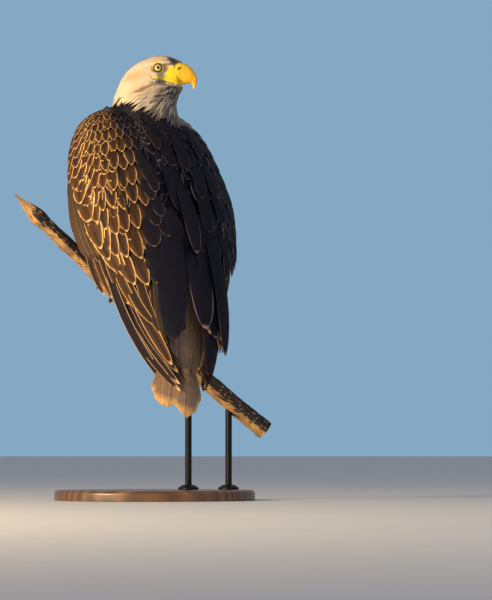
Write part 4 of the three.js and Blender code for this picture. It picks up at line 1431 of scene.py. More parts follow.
def layingSurface(sheets):
    # the form with some analytic sheets, as one surface to lay feathers on
    points, faces = [formPoints], [face for group in formFaces for face in group.tolist()]
    first = len(formPoints)
    for sheet in sheets:
        rows, columns = sheet.shape[:2]
        points.append(sheet.reshape(-1, 3))
        faces.extend((gridFaces(rows, columns) + first).tolist())
        first += rows * columns
    return BVHTree.FromPolygons(np.concatenate(points).tolist(), faces)


def foldSheet(side):
    turn, height = np.meshgrid(np.arange(4, 119, 3.0), np.arange(-430, 264, 8.0), indexing="ij")
    return placed(bodyMatrix, fold(side, turn, height, 0.0))


def tailSheet():
    off, down = np.meshgrid(np.linspace(-1, 1, 21), np.linspace(-0.4, 1, 29), indexing="ij")
    return tailPlace(off, down, -3.0)


overWings = layingSurface([foldSheet(side) for side in sideSign])
overTail = layingSurface([tailSheet()])


def seenFromFront(x, z, surface):
    # the first place on the surface behind a point of the front view, or else beside its edge
    eye = bpy.context.scene.camera.location
    aim = Vector((x * mm, 0, z * mm))
    ahead = (aim - eye).normalized()
    spot, normal, _, _ = surface.ray_cast(eye, ahead)
    beside = spot is None
    if beside:
        spot = aim
        for _ in range(6):
            near, normal, _, _ = surface.find_nearest(spot)
            spot = eye + ahead * (near - eye).dot(ahead)
    if normal.dot(eye - spot) < 0:
        normal = -normal
    if beside:
        normal = (normal - ahead).normalized()
    return np.array(spot), np.array(normal)


def laidPiece(name, rows, surface, material, slot):
    rows = np.array(rows, float)
    count = len(rows)
    stations, normals = [], []
    for share in (0, 0.5, 1):
        bend = 4 * share * (1 - share) * rows[:, 8:9] * unit(rows[:, [3, 0]] - rows[:, [1, 2]])
        seen = [seenFromFront(*place, surface) for place in mix(rows[:, 0:2], rows[:, 2:4], share) + bend]
        spot, normal = (np.array(part) for part in zip(*seen))
        normals.append(unit(normal))
        stations.append(spot)
    normals[1] = unit(normals[0] + normals[1] + normals[2])
    sideways = unit(rows[:, [3, 0]] - rows[:, [1, 2]]) * rows[:, 8:9] * mm
    straight = (stations[0] + stations[2]) / 2 + sideways[:, [0, 0, 1]] * (1, 0, 1)
    bulge = dot(stations[1] - straight, normals[1])
    stations[1] = straight + normals[1] * np.clip(bulge, 0, 0.03)
    for share, place, normal in zip((0, 0.5, 1), range(3), normals):
        stations[place] = stations[place] + normal * mix(rows[:, 5:6], rows[:, 6:7], share) * mm
    length = np.linalg.norm(stations[2] - stations[0], axis=1)
    chance = rng.random(count)
    values = plumeMarks(stations[1], chance)
    # the rim and the painted sunlight of each laid feather are taken from its row
    values[:, 1], values[:, 2], values[:, 3] = 0, rows[:, 7], rows[:, 9]
    piece = plumePiece(
        name, stations, normals, length, rows[:, 4] * mm, bodyUnwrap(stations[0]), values, np.zeros(count),
        laidLooks, material,
    )
    return shown(piece, slot)


laidLike = {
    "scapulars": (overWings, plumageLong, "plumage_brown"),
    "tertials": (overWings, plumageLong, "flight_feathers"),
    "primaryEnds": (overWings, plumageLong, "flight_feathers"),
    "leftQuills": (overWings, plumageEdged, "flight_feathers"),
    "tailCoverts": (overTail, tailCovertVane, "tail_feathers"),
}
for name, (surface, material, slot) in laidLike.items():
    laidPiece(name, laidFeathers[name], surface, material, slot)
print("big feathers of the back laid")


# tubes along smooth paths

def curvePoints(keys, count):
    # even steps along a centripetal Catmull-Rom curve, with its tangents
    keys = np.array(keys, float)
    padded = np.vstack([2 * keys[0] - keys[1], keys, 2 * keys[-1] - keys[-2]])
    fine = []
    for a, b, c, d in zip(padded, padded[1:], padded[2:], padded[3:]):
        gaps = [max(np.linalg.norm(q - p), 1e-9) ** 0.5 for p, q in ((a, b), (b, c), (c, d))]
        into = ((b - a) / gaps[0] - (c - a) / (gaps[0] + gaps[1]) + (c - b) / gaps[1]) * gaps[1]
        out = ((c - b) / gaps[1] - (d - b) / (gaps[1] + gaps[2]) + (d - c) / gaps[2]) * gaps[1]
        t = np.linspace(0, 1, 60)[:, None]
        cubic = (2 * b - 2 * c + into + out) * t ** 3 + (3 * c - 3 * b - 2 * into - out) * t ** 2
        fine.append(cubic + into * t + b)
    fine = np.concatenate(fine)
    run = np.concatenate([[0], np.cumsum(np.linalg.norm(np.diff(fine, axis=0), axis=1))])
    at = np.linspace(0, run[-1], count) if np.isscalar(count) else np.asarray(count) * run[-1]
    points = np.stack([np.interp(at, run, fine[:, k]) for k in range(3)], axis=1)
    step = run[-1] * 0.002
    ahead = np.stack([np.interp(at + step, run, fine[:, k]) for k in range(3)], axis=1)
    behind = np.stack([np.interp(at - step, run, fine[:, k]) for k in range(3)], axis=1)
    return points, unit(ahead - behind)


# bill

billLooks = {
    "yellow": (1.0, 0.62, 0.012), "deep": (0.96, 0.40, 0.005), "cere": (1.0, 0.70, 0.03),
    "tip": (0.62, 0.36, 0.06), "slit": (0.03, 0.012, 0.005), "rows": 90, "columns": 72,
    "nostril": (44.5, 1.0), "nostrilLean": 32, "nostrilHalf": 5.8, "nostrilWide": 2.1,
    "cereFront": 47.5, "cereHigh": 0.5, "rimHigh": 0.5, "grooveDeep": 0.45, "slitDeep": 3.4, "edgeHigh": 0.45,
    "rippleHigh": 0.10,
}
upperRows = [
    (0, 30, 13, 30, -26.5, 22.0), (1, 38, 14.6, 38, -27.5, 20.4), (2, 47, 14.8, 47, -28, 17.4),
    (3, 57, 11.8, 55, -28.3, 14), (4, 66, 5.5, 61, -28.3, 11.2), (5, 73, -2, 65, -28.2, 8.6),
    (6, 77.5, -10.5, 67.5, -28.6, 6.2), (7, 80, -20.5, 69, -30, 4.6), (8, 78.5, -31.5, 70.5, -34, 2.8),
    (9, 73.5, -43, 72, -42.4, 0.7),
]
lowerRows = [
    (0, 30, -24, 30, -32.5, 12), (1, 40, -25, 40, -32.5, 11), (2, 48, -25.5, 48, -32, 8.8),
    (3, 55, -26, 55, -30.8, 6), (4, 60, -26.5, 59.5, -29.6, 3.4),
]


def billMaterial():
    material, w = newMaterial(
        "billHorn", 0.3, Coat_Weight=0.35, Coat_Roughness=0.2, Subsurface_Weight=0.12,
        Subsurface_Radius=(0.004, 0.002, 0.0006),
    )
    look = billLooks
    forward, cere, slit, _ = w.channels("horn")
    spot = w.spot()
    cloudy = w.noise(spot, 60.0, detail=4.0)
    lines = w.noise(w.stretched(spot, (60.0, 60.0, 420.0)), 1.0, detail=3.0)
    deepened = w.math("MULTIPLY", forward, w.ramp(cloudy, 0.25, 0.7, 0.6, 1.0))
    base = w.blend(deepened, look["yellow"], look["deep"])
    base = w.blend(w.ramp(lines, 0.5, 0.75, 0.0, 0.28), base, look["deep"])
    base = w.blend(cere, base, look["cere"])
    base = w.blend(slit, base, look["slit"])
    base = w.mottled(base, 60.0, 0.1, 0.08)
    height = w.math("ADD", lines, w.math("MULTIPLY", cloudy, 0.6))
    w.dress(base, height, 0.0005, 0.5, roughness=w.ramp(cloudy, 0.3, 0.8, 0.24, 0.42))
    return material


billHorn = billMaterial()


def billRings(table, rows, columns):
    share = np.linspace(0, table[-1][0], rows)[:, None]
    turn = turns(columns)
    return headRing(table, share, turn), share, turn


def upperBill():
    look = billLooks
    rings, share, turn = billRings(upperRows, look["rows"], look["columns"])
    x, y, z = rings[..., 0], rings[..., 1] - pose["headMiddle"], rings[..., 2]
    # the cere's soft swelling and its step down to the horn
    edge = look["cereFront"] + 2.5 * np.sin(z / 9.0) - 0.05 * (z + 10)
    cere = 1 - smooth(x, edge - 1.0, edge + 1.2)
    lean = rad(look["nostrilLean"])
    dx, dz = x - look["nostril"][0], z - look["nostril"][1]
    far = dx * np.cos(lean) + dz * np.sin(lean)
    beside = -dx * np.sin(lean) + dz * np.cos(lean)
    oval = np.hypot(far / look["nostrilHalf"], beside / look["nostrilWide"])
    onSide = smooth(np.abs(y), 4, 8)
    slit = (1 - smooth(oval, 0.55, 1.05)) * onSide
    rim = np.exp(-(((oval - 1.35) / 0.45) ** 2)) * onSide
    groove = np.exp(-(((x - edge - 1.2) / 1.3) ** 2)) * smooth(share, 1.2, 1.8)
    tomial = np.exp(-(((z + 27.5) / 2.2) ** 2)) * smooth(x, 40, 50) * smooth(-x, -70, -62)
    push = cere * look["cereHigh"] + rim * look["rimHigh"] - groove * look["grooveDeep"]
    push = push - slit * look["slitDeep"] + tomial * look["edgeHigh"]
    ripple = look["rippleHigh"] * np.sin(x * 0.9 + 0.3 * z) * (1 - cere) * smooth(x, 50, 56)
    rings[..., 1] += np.sign(y) * (push + ripple) * smooth(np.abs(y), 0, 3.5)
    rings[..., 2] += look["cereHigh"] * cere * smooth(np.cos(turn), 0.4, 1)
    forward = smooth(x - 0.4 * z, 52, 92)
    values = np.stack([forward + 0 * x, cere, slit, np.ones_like(x)], axis=-1)
    points = placed(headMatrix, rings)
    piece = loftPiece("upperBill", points, billHorn, {}, {"horn": values.reshape(-1, 4)}, sharp=70)
    return shown(piece, "bill_horn", "bill_upper")


def lowerBill():
    look = billLooks
    rings, _, _ = billRings(lowerRows, look["rows"] // 2, look["columns"])
    x = rings[..., 0]
    values = np.stack([smooth(x, 44, 60), 1 - smooth(x, 38, 44), 0 * x, 0 * x + 1], axis=-1)
    points = placed(headMatrix, rings)
    piece = loftPiece("lowerBill", points, billHorn, {}, {"horn": values.reshape(-1, 4)}, sharp=70)
    return shown(piece, "bill_horn", "bill_lower")


upperBill()
lowerBill()
print("bill made")


# eyes and their lids

eyeColours = {
    "pupil": (0.004, 0.004, 0.005), "iris": (0.72, 0.55, 0.13), "inner": (0.86, 0.73, 0.30),
    "outer": (0.42, 0.25, 0.03), "ring": (0.010, 0.007, 0.006), "lid": (0.0203, 0.0144, 0.0113),
    "lidPale": (0.62, 0.40, 0.08),
}


def eyeMaterial():
    material, w = newMaterial("eyeGlass", 0.08, Coat_Weight=1.0, Coat_Roughness=0.02)
    look, size = eyeColours, eyeLooks
    radius = w.amount("eyeRadius")
    spokes = w.noise(w.stretched(w.vane(), (70, 5, 1)), 1.0)
    iris = w.blend(w.ramp(radius, size["pupil"], size["iris"]), look["inner"], look["iris"])
    iris = w.blend(w.ramp(spokes, 0.45, 0.75, 0.0, 0.6), iris, look["outer"])
    iris = w.blend(w.ramp(radius, size["iris"] - 1.6, size["iris"]), iris, look["outer"])
    iris = w.blend(w.ramp(radius, size["pupil"] - 0.25, size["pupil"] + 0.25, 1.0, 0.0), iris, look["pupil"])
    iris = w.blend(w.ramp(radius, size["iris"] - 0.3, size["iris"] + 0.4), iris, look["ring"])
    w.dress(iris)
    return material


def lidMaterial():
    material, w = newMaterial("lidSkin", 0.45, Coat_Weight=0.15)
    look = eyeColours
    beads = w.cells(900.0)
    base = w.blend(w.ramp(w.amount("eyeRadius"), 9.7, 10.7), look["lid"], look["lidPale"])
    base = w.mottled(base, 120.0, 0.25, 0.2)
    w.dress(base, beads, 0.0004, 0.8)
    return material


eyeGlass = eyeMaterial()
lidSkin = lidMaterial()


def onEye(side, x, deep, z):
    # places on one eye, measured outwards from its ball's centre
    middle = 0 if side == "right" else eyeLooks["spread"]
    return placed(headMatrix, np.stack([x, middle - sideSign[side] * deep + 0 * x, z], axis=-1))


def eyeBall(side):
    look = eyeLooks
    ring = np.radians(np.concatenate([np.linspace(0.5, 62, 44), np.linspace(66, 178, 22)]))[:, None]
    turn = turns(64)
    radius = look["radius"] * np.sin(ring)
    bulge = 0.7 * np.exp(-((radius / 6.2) ** 4)) * (ring < 1.3)
    deep = look["radius"] * np.cos(ring) + bulge
    x, z = radius * np.cos(turn), radius * np.sin(turn)
    seen = np.where(ring < np.pi / 2, radius, 9.5) + 0 * turn
    polar = np.stack([turn / (2 * np.pi) + 0 * ring, ring / np.pi + 0 * turn], axis=-1)
    piece = loftPiece(
        "eyeball_" + side, onEye(side, x, deep, z), eyeGlass, {"vane": polar.reshape(-1, 2)},
        {"eyeRadius": seen.ravel()}, sharp=80,
    )
    return shown(piece, "eye", "eye_" + side)


def eyeLid(side):
    # a thin soft ring: from the ball's face out over its rim and down into the feathers
    look = eyeLooks
    turn = turns(72)
    t = np.linspace(0, 1, 14)[:, None]
    upper = smooth(np.sin(turn), -0.2, 1)
    inner = look["lidInner"] - 1.0 * upper + 0.25 * np.cos(2 * turn)
    radius = mix(inner, look["lidOuter"] + 2.0 + 0.6 * np.cos(2 * turn), t)
    ballDeep = np.sqrt(np.maximum(look["radius"] ** 2 - np.minimum(radius, 9.3) ** 2, 0.4))
    deep = ballDeep * (1 - smooth(t, 0.0, 0.6)) + 3.6 * smooth(t, 0, 0.6) - 4.2 * smooth(t, 0.55, 1.0)
    deep = deep + 1.0 * np.sin(np.pi * np.clip(t / 0.6, 0, 1)) + 0.25
    deep = deep - 0.7 * (1 - smooth(t, 0, 0.08))
    x, z = radius * np.cos(turn), radius * np.sin(turn) * 0.98
    rings = np.concatenate([onEye(side, x, deep, z), onEye(side, x, deep - look["lidThick"], z)[::-1]])
    seen = np.concatenate([radius + 0 * turn, (radius + 0 * turn)[::-1]])
    count = len(rings)
    faces = gridFaces(count, 72, ringed=True)
    close = np.arange(72)
    last = (count - 1) * 72 + close
    join = np.stack([last, np.roll(last, -1), np.roll(close, -1), close], axis=1)
    piece = outward(makeMesh(
        "eyelid_" + side, rings, [faces, join], lidSkin, {}, {"eyeRadius": seen.ravel()}
    ))
    return shown(piece, "foot_skin")


for side in sideSign:
    eyeBall(side)
    eyeLid(side)
print("eyes made")


# the perch

perchPath = [
    (-288, -60, 634), (-246, -48, 594), (-160, -22, 512), (-62, 8, 416), (48, 38, 308), (140, 58, 222),
    (232, 76, 146),
]
# each noise has its steps lengthwise, its steps roundwise and its seed
perchLooks = {
    "radii": (13.5, 20), "knots": [(0.09, 0.02, 5), (0.2, 0.018, 3)], "rows": 420, "columns": 96,
    "furrows": (26, 2.6, 3.0), "grain": (120, 5.0, 11.0), "patches": (9, 0.9, 7.0),
    "splinters": (4, 4.5, 5.0), "stretches": (0, 3.2, 9.0), "furrowDeep": 1.5, "peelDeep": 0.8,
    "grainHigh": 0.7, "splinterDeep": 3.2, "stretch": 15, "endRings": 12, "endBulge": 0.9,
    "light": (0.50, 0.29, 0.10), "grey": (0.24, 0.155, 0.085), "dark": (0.016, 0.012, 0.014),
    "wood": (0.56, 0.38, 0.20), "ring": (0.30, 0.17, 0.07),
}


def perchRadius(t, turn):
    knots = sum(out * np.exp(-(((t - at) / spread) ** 2)) for at, spread, out in perchLooks["knots"])
    wobble = 1 + 0.05 * np.sin(3 * turn + 9 * t) + 0.03 * np.sin(5 * turn - 17 * t)
    bump = knots * (0.5 + 0.5 * np.cos(turn - 2))
    broken = mix(0.18, 1, smooth(t, 0, 0.07))
    return (mix(*perchLooks["radii"], t) * wobble + bump) * broken


def barkMaterial():
    material, w = newMaterial("bark", 0.82)
    look = perchLooks
    cut, deep, radius, _ = w.channels("bark")
    strips = w.noise(w.stretched(w.vane(), (16, 34, 1)), 1.0, detail=6.0, rough=0.65)
    blotch = w.noise(w.spot(), 26.0, detail=4.0)
    base = w.blend(w.ramp(blotch, 0.35, 0.65), look["light"], look["grey"])
    base = w.blend(w.ramp(strips, 0.46, 0.34), base, look["dark"])
    # the second channel darkens the furrows and, as painted shade, the branch's upper side
    base = w.blend(w.ramp(deep, 0.35, 0.8), base, look["dark"])
    rings = w.math("SINE", w.math("MULTIPLY", radius, 150.0))
    wood = w.blend(w.ramp(rings, 0.1, 1.0, 0.0, 0.7), look["wood"], look["ring"])
    base = w.blend(cut, base, wood)
    base = w.mottled(base, 60.0, 0.3, 0.3)
    w.dress(base, w.math("ADD", strips, w.math("MULTIPLY", blotch, 0.5)), 0.0016, 0.9)
    return material


bark = barkMaterial()


def barkNoise(t, turn, lengthwise, roundwise, seed):
    # noise that closes round the branch
    values = np.empty(np.broadcast(t, turn).shape)
    flatT, flatTurn = (a.ravel() for a in np.broadcast_arrays(t, turn))
    made = [
        noise.noise((math.cos(q) * roundwise, math.sin(q) * roundwise, p * lengthwise + seed))
        for p, q in zip(flatT, flatTurn)
    ]
    values.ravel()[:] = made
    return values


def perchPiece():
    look = perchLooks
    rows, columns = look["rows"], look["columns"]
    t = np.concatenate([np.linspace(0, 0.075, 60), np.linspace(0.078, 1, rows - 60)])
    points, tangents = curvePoints(perchPath, t)
    turn = turns(columns)
    t = t[:, None]
    radius = perchRadius(t, turn)
    twist = turn + 1.1 * t + 0.15 * np.sin(9 * t)
    furrow = barkNoise(t, twist, *look["furrows"])
    fine = barkNoise(t, twist, *look["grain"])
    patch = barkNoise(t, turn, *look["patches"])
    grooves = smooth(-furrow, 0.02, 0.34)
    peeled = smooth(patch, 0.12, 0.3)
    bare = 1 - smooth(t, 0.035, 0.075)
    splinters = np.abs(barkNoise(t, turn, *look["splinters"])) * bare
    radius = radius - grooves * look["furrowDeep"] * (1 - peeled * 0.7) - peeled * look["peelDeep"]
    radius = radius + fine * look["grainHigh"] - splinters * look["splinterDeep"] * smooth(t, 0, 0.03)
    over = unit(np.array([0, 0, 1.0]) - tangents * tangents[:, 2:])
    side = np.cross(tangents, over)
    rings = points[:, None] + spokes(over, side, turn) * radius[..., None]
    # the broken end runs out in splinters of uneven length
    uneven = np.maximum(barkNoise(0 * t, turn, *look["stretches"]), -0.5)
    stretch = look["stretch"] * uneven * (1 - smooth(t, 0, 0.05))
    rings = rings - tangents[:, None] * np.minimum(stretch, 2.5)[..., None]
    # the sawn end closes in rings, a little domed
    saw = np.linspace(1, 0, look["endRings"])[1:, None, None]
    dome = tangents[-1] * look["endBulge"] * (1 - saw ** 6)
    endFace = points[-1] + (rings[-1] - points[-1])[None] * saw + dome
    closing = len(saw)
    ends = np.concatenate([rings, endFace])
    cutMark = np.concatenate([np.where(t > 2, 1, bare) + 0 * turn, np.ones((closing, columns))])
    # painted shade: the upper side of the branch darkened towards near-black
    shaded = 0.9 * smooth(np.cos(turn - 0.5), -0.05, 0.4) * (1 - 0.6 * smooth(fine, 0.1, 0.5)) * (1 - bare)
    deep = np.concatenate([np.maximum(grooves * (1 - peeled * 0.6), shaded), np.zeros((closing, columns))])
    near = np.concatenate([0.3 + 0 * radius, saw[..., 0] + 0 * turn])
    values = np.stack([cutMark, deep, near, np.ones_like(near)], axis=-1)
    lengthwise = np.concatenate([t, np.ones((closing, 1))])
    flat = np.stack([np.abs(turn / np.pi - 1) * 0.6 + 0 * lengthwise, lengthwise + 0 * turn], axis=-1)
    piece = loftPiece(
        "perchBranch", ends * mm, bark, {"vane": flat.reshape(-1, 2)}, {"bark": values.reshape(-1, 4)},
        sharp=60,
    )
    return shown(piece, "bark", "perch")


perchPiece()
print("perch made")


# legs, feet and claws

footLooks = {
    "at": {"left": 0.41, "right": 0.6}, "ankle": {"left": 0.36, "right": 0.42},
    "hips": {"left": (-58, 34, -70), "right": (58, 34, -70)},
    "yellow": (0.80, 0.47, 0.035), "groove": (0.34, 0.17, 0.02), "pale": (0.88, 0.66, 0.16),
    "scute": 5.2, "rows": 96, "columns": 40,
    "toe": (0.8, 1, 0.92, 1, 0.86, 0.92, 0.66), "talon": (0.62, 0.56, 0.42, 0.28, 0.16, 0.05),
    "talonReach": (0.84, 1.34), "shank": (10.5, 10, 9.6, 10.4, 12.6), "shankScute": 6.2,
    "palm": (17.5, 12.2), "palmTop": 22, "sole": 16,
    "claw": (0.012, 0.011, 0.012), "clawWorn": (0.10, 0.085, 0.07),
}
# start along the perch, splay along it, degrees reached round it, thickness
toeRows = {
    "inner": (-13, -22, 118, 8.6), "middle": (0, 0, 138, 8.8), "outer": (13, 20, 112, 7.8),
    "hind": (0, 3, -112, 8.8),
}


def scaleMaterial():
    material, w = newMaterial("footScales", 0.5, Coat_Weight=0.12, Coat_Roughness=0.4, Subsurface_Weight=0.08)
    look = footLooks
    edge = w.ramp(w.cells(420.0, "DISTANCE_TO_EDGE"), 0.0, 0.22, 1.0, 0.0)
    base = w.blend(w.math("MULTIPLY", edge, 0.6), look["yellow"], look["groove"])
    base = w.blend(w.amount("scute"), base, look["groove"])
    base = w.mottled(base, 70.0, 0.22, 0.12)
    w.dress(base, w.math("SUBTRACT", 1.0, edge), 0.0006, 0.8)
    return material


def clawMaterial():
    material, w = newMaterial("clawHorn", 0.28, Coat_Weight=0.3, Coat_Roughness=0.15)
    look = footLooks
    streak = w.noise(w.stretched(w.spot(), (160, 160, 60)), 1.0, detail=4.0)
    worn = w.math("MULTIPLY", w.ramp(streak, 0.4, 0.7), w.amount("scute"))
    base = w.blend(worn, look["claw"], look["clawWorn"])
    w.dress(base, streak, 0.0004, 0.4, roughness=w.ramp(streak, 0.3, 0.8, 0.2, 0.42))
    return material


footScales = scaleMaterial()
clawHorn = clawMaterial()


def gripFrame(side):
    t = footLooks["at"][side]
    points, tangents = curvePoints(perchPath, np.array([t]))
    run = tangents[0]
    over = unit(np.array([0, 0, 1.0]) - run * run[2])
    return points[0], run, over, unit(np.cross(over, run)), mix(*perchLooks["radii"], t)


def wrapped(side, row, t, lift):
    # points round the perch, clear of its bark
    centre, run, over, forward, radius = gripFrame(side)
    start, splay, reach, thick = row
    t = np.asarray(t, float)[:, None]
    turn = rad(reach * t)
    off = radius * 1.08 + thick * lift(t)
    away = -sideSign[side] * (start * np.minimum(1, 0.4 + t) + splay * t)
    return centre + run * away + over * off * np.cos(turn) + forward * off * np.sin(turn)


def relaxedLine(values, rounds):
    for _ in range(rounds):
        values = np.concatenate([values[:1], (values[:-2] + 2 * values[1:-1] + values[2:]) / 4, values[-1:]])
    return values


def toeRings(side, row):
    look = footLooks
    centre, run = gripFrame(side)[:2]
    keys = wrapped(side, row, np.linspace(0.02, 0.86, 7), lambda t: 1.08 - 0.22 * t)
    points, tangents = curvePoints(keys, look["rows"])
    t = np.linspace(0, 1, look["rows"])
    joints = np.interp(t, np.linspace(0, 1, 7), np.array(look["toe"]) * row[3])
    joints = relaxedLine(joints, 6) * 0.96
    joints = joints * np.sqrt(np.clip(1 - ((t - 0.93) / 0.075) ** 2, 0.02, 1)) ** (t > 0.93)
    out = unit(points - centre - run * ((points - centre) @ run)[:, None])
    out = unit(out - tangents * dot(out, tangents))
    turn = turns(look["columns"])
    length = np.linalg.norm(np.diff(points, axis=0), axis=1).sum()
    phase = (t[:, None] * length / look["scute"]) % 1
    onTop = smooth(np.cos(turn), 0.1, 0.55)
    groove = np.exp(-(((phase - 0.5) / 0.12) ** 2)) * onTop
    pads = 0.9 * np.abs(np.sin(np.pi * t[:, None] * 3.4)) * smooth(-np.cos(turn), 0.2, 0.8)
    swell = joints[:, None] - groove * 0.75 + pads + 0.35 * np.sin(np.pi * phase) * onTop
    wheel = spokes(out * 0.96, np.cross(tangents, out), turn)
    return points[:, None] + wheel * swell[..., None], groove + 0 * turn


def clawRings(side, row):
    start, end = footLooks["talonReach"]

    def lift(t):
        return 0.86 - 0.95 * (t - start) + 1.3 * (t - start) ** 2

    keys = wrapped(side, row, np.linspace(start, end, 6), lift)
    points, tangents = curvePoints(keys, 48)
    t = np.linspace(0, 1, 48)
    radius = np.interp(t, np.linspace(0, 1, 6), np.array(footLooks["talon"]) * row[3])
    radius = relaxedLine(radius, 5)
    centre, run = gripFrame(side)[:2]
    out = unit(points - centre - run * ((points - centre) @ run)[:, None])
    rings = tubeRingsOut(points, tangents, out, radius, 28)
    return rings, np.repeat(smooth(t, 0.3, 1.0)[:, None], 28, axis=1)


def tubeRingsOut(points, tangents, out, radius, columns):
    # a little deeper than wide, with a flat below, as a talon is
    out = unit(out - tangents * dot(out, tangents))
    side = np.cross(tangents, out)
    turn = turns(columns)[..., None]
    wheel = out[:, None] * np.maximum(np.cos(turn), -0.72) * 1.04 + side[:, None] * np.sin(turn) * 0.92
    return points[:, None] + wheel * np.asarray(radius)[:, None, None]


def joinedLofts(name, lofts, material):
    # several closed tubes in one mesh
    points, faces, middles, first = [], [], [], 0
    for rings, values in lofts:
        rows, columns = rings.shape[:2]
        faces.append(gridFaces(rows, columns, ringed=True) + first)
        for end, order in ((0, -1), (rows - 1, 1)):
            rim = first + end * columns + np.arange(columns)[::order]
            faces.append(np.stack([rim, np.roll(rim, -1), np.full(columns, -1 - len(middles))], axis=1))
            middles.append(rings[end].mean(axis=0))
        points.append(rings.reshape(-1, 3))
        first += rows * columns
    values = np.concatenate([v.ravel() for _, v in lofts] + [np.zeros(len(middles))])
    faces = [np.where(group < 0, first - 1 - group, group) for group in faces]
    everything = np.concatenate(points + [np.array(middles)]) * mm
    return outward(makeMesh(name, everything, faces, material, {}, {"scute": values}, sharp=70))


def palmRings(side):
    # the ball of the foot, between the shank and the toes
    centre, run, over, forward, radius = gripFrame(side)
    low = centre + over * (radius * 1.06 + 2.0)
    high = centre + over * (radius + footLooks["palmTop"])
    t = np.linspace(0, 1, 40)[:, None, None]
    turn = turns(48)[..., None]
    wide = mix(*footLooks["palm"], t) * np.sqrt(np.clip(1 - (2 * t - 1) ** 4, 0.02, 1))
    rings = low + (high - low) * t + (run * np.cos(turn) + forward * np.sin(turn)) * wide
    return rings, np.zeros(rings.shape[:2])


def legKeys(side):
    centre, _, over, _, radius = gripFrame(side)
    sole = centre + over * (radius + footLooks["sole"])
    hip = placed(bodyMatrix, np.array(footLooks["hips"][side], float)) / mm
    ankle = sole + (hip - sole) * footLooks["ankle"][side] + np.array([0, -10, 0])
    return sole, ankle


def shankRings(side):
    sole, ankle = legKeys(side)
    keys = [ankle + (sole - ankle) * share for share in (-0.1, 0.5, 1.0)]
    points, tangents = curvePoints(keys, 90)
    t = np.linspace(0, 1, 90)
    radius = np.interp(t, np.linspace(0, 1, 5), footLooks["shank"])
    forward = gripFrame(side)[3]
    front = unit(forward - tangents * dot(np.broadcast_to(forward, tangents.shape), tangents))
    across = np.cross(tangents, front)
    turn = turns(44)
    length = np.linalg.norm(points[-1] - points[0])
    phase = (t[:, None] * length / footLooks["shankScute"]) % 1
    onFront = smooth(np.cos(turn), 0.15, 0.6)
    groove = np.exp(-(((phase - 0.5) / 0.1) ** 2)) * onFront
    swell = radius[:, None] * 0.96 - groove * 0.8 + 0.3 * onFront
    return points[:, None] + spokes(front, across, turn) * swell[..., None], groove


for side in sideSign:
    toes = [toeRings(side, row) for row in toeRows.values()]
    shown(joinedLofts("footSkin_" + side, toes + [palmRings(side)], footScales), "foot_skin", "foot_" + side)
    shown(joinedLofts("shank_" + side, [shankRings(side)], footScales), "foot_skin", "tarsus_" + side)
    for toe, row in toeRows.items():
        talon = joinedLofts("talon_" + toe + "_" + side, [clawRings(side, row)], clawHorn)
        shown(talon, "claw_horn", "claw_" + toe + "_" + side)
print("feet made")


# the display stand: smooth dark wood, two rods and their collars

standLooks = {
    "size": (420, 330, 22), "bevel": 4.5, "rods": (0.7, 0.86), "rodRadius": 7, "collarAt": 22.2,
    "collar": [(0.5, 0), (22, 0), (22, 4), (13, 10), (8.5, 10), (8.2, 10.4), (0.5, 10.4)],
    "collarRound": 1.4, "rodRound": 1.0, "rodFoot": 4,
    "wood": (0.085, 0.040, 0.020), "woodPale": (0.19, 0.095, 0.045), "metal": (0.012, 0.012, 0.013),
}


def woodMaterial():
    material, w = newMaterial("standWood", 0.38, Coat_Weight=0.35, Coat_Roughness=0.22)
    look = standLooks
    spot = w.spot()
    grain = w.noise(w.stretched(spot, (2.2, 34.0, 8.0)), 1.0, detail=5.0, rough=0.6)
    rings = w.put("TexWave", wave_type="BANDS", bands_direction="Y")
    w.join(w.stretched(spot, (0.6, 9.0, 2.0)), rings.inputs["Vector"])
    for label, value in (("Scale", 2.4), ("Distortion", 5.5), ("Detail", 3.0)):
        rings.inputs[label].default_value = value
    base = w.blend(rings.outputs["Fac"], look["wood"], look["woodPale"])
    base = w.blend(w.ramp(grain, 0.42, 0.6, 0.55, 0.0), base, look["wood"])
    base = w.mottled(base, 14.0, 0.14, 0.1)
    w.dress(base, grain, 0.0006, 0.3, roughness=w.ramp(grain, 0.3, 0.7, 0.32, 0.46))
    return material


def metalMaterial():
    material, w = newMaterial("standMetal", 0.42, Metallic=0.85, Coat_Weight=0.2)
    peel = w.noise(w.spot(), 900.0, detail=2.0)
    base = w.place(mottle, Color=(*standLooks["metal"], 1), Scale=40.0, Amount=0.3, Grain=0.2)
    w.dress(base["Color"], peel, 0.0002, 0.4, roughness=w.ramp(base["Mask"], 0.3, 0.7, 0.36, 0.5))
    return material


standWood = woodMaterial()
standMetal = metalMaterial()


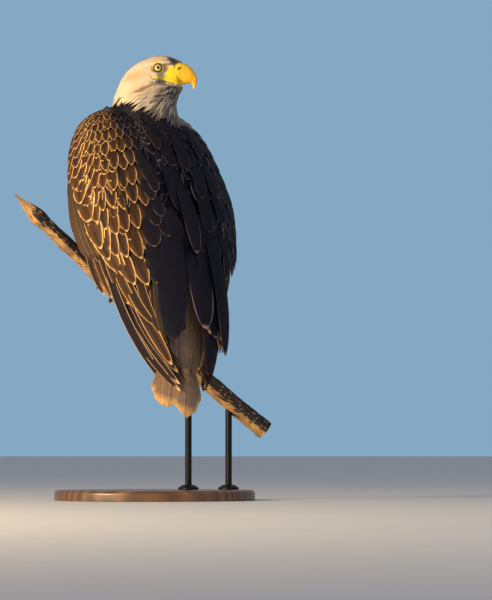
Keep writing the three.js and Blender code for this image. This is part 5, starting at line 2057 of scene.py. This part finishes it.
def turned(name, centre, profile, material, columns):
    # a closed turned piece from its profile of radius and height
    profile = np.array(profile, float)
    turn = turns(columns)
    x = centre[0] + profile[:, :1] * np.cos(turn)
    y = centre[1] + profile[:, :1] * np.sin(turn)
    rings = np.stack([x, y, profile[:, 1:] + 0 * turn], axis=-1)
    return loftPiece(name, rings * mm, material, sharp=40)


def rounded(corners, radius, steps=6):
    # the profile with its inner corners rounded off
    corners = np.array(corners, float)
    out = [corners[0]]
    for before, corner, after in zip(corners, corners[1:], corners[2:]):
        reach = min(radius, np.linalg.norm(before - corner) / 2.1, np.linalg.norm(after - corner) / 2.1)
        a = corner + unit(before - corner) * reach
        b = corner + unit(after - corner) * reach
        t = np.linspace(0, 1, steps)[:, None]
        out.extend((1 - t) ** 2 * a + 2 * t * (1 - t) * corner + t ** 2 * b)
    return np.array(out + [corners[-1]])


def standPieces():
    look = standLooks
    wide, deep, tall = look["size"]
    a, b = wide / 2, deep / 2
    corners = [(1, 0), (a - 1.2, 0), (a, 1.2), (a, tall - 5), (a - 5, tall), (1, tall)]
    profile = rounded(corners, look["bevel"], 8)
    turn = turns(180)
    inset = a - profile[:, :1]
    x = (a - inset) * np.cos(turn)
    y = np.maximum(b - inset, 0.5) * np.sin(turn)
    rings = np.stack([x, y, profile[:, 1:] + 0 * turn], axis=-1)
    shown(loftPiece("standBase", rings * mm, standWood, sharp=60), "stand_wood", "stand_base")
    for number, share in enumerate(look["rods"], 1):
        x, y, z = curvePoints(perchPath, np.array([share]))[0][0]
        foot = look["collarAt"]
        collar = rounded(look["collar"], look["collarRound"]) + (0, foot)
        low, wide = foot + look["rodFoot"], look["rodRadius"]
        rod = rounded([(0.5, low), (wide, low), (wide, z), (0.5, z)], look["rodRound"])
        for kind, profile, columns in (("collar", collar, 72), ("rod", rod, 48)):
            name = "%s_%d" % (kind, number)
            shown(turned(name, (x, y), profile, standMetal, columns), "stand_metal", "stand_" + name)


standPieces()
print("stand made")


# floor

def floorPiece():
    material, w = newMaterial("floorPaint", 0.75)
    w.dress(w.mottled((*studio["floor"], 1), 3.0, 0.03, 0.02))
    half = studio["floorHalf"]
    corners = [(-half, -half, 0), (half, -half, 0), (half, half, 0), (-half, half, 0)]
    floor = makeMesh("floor", corners, [[(0, 1, 2, 3)]], material)


floorPiece()
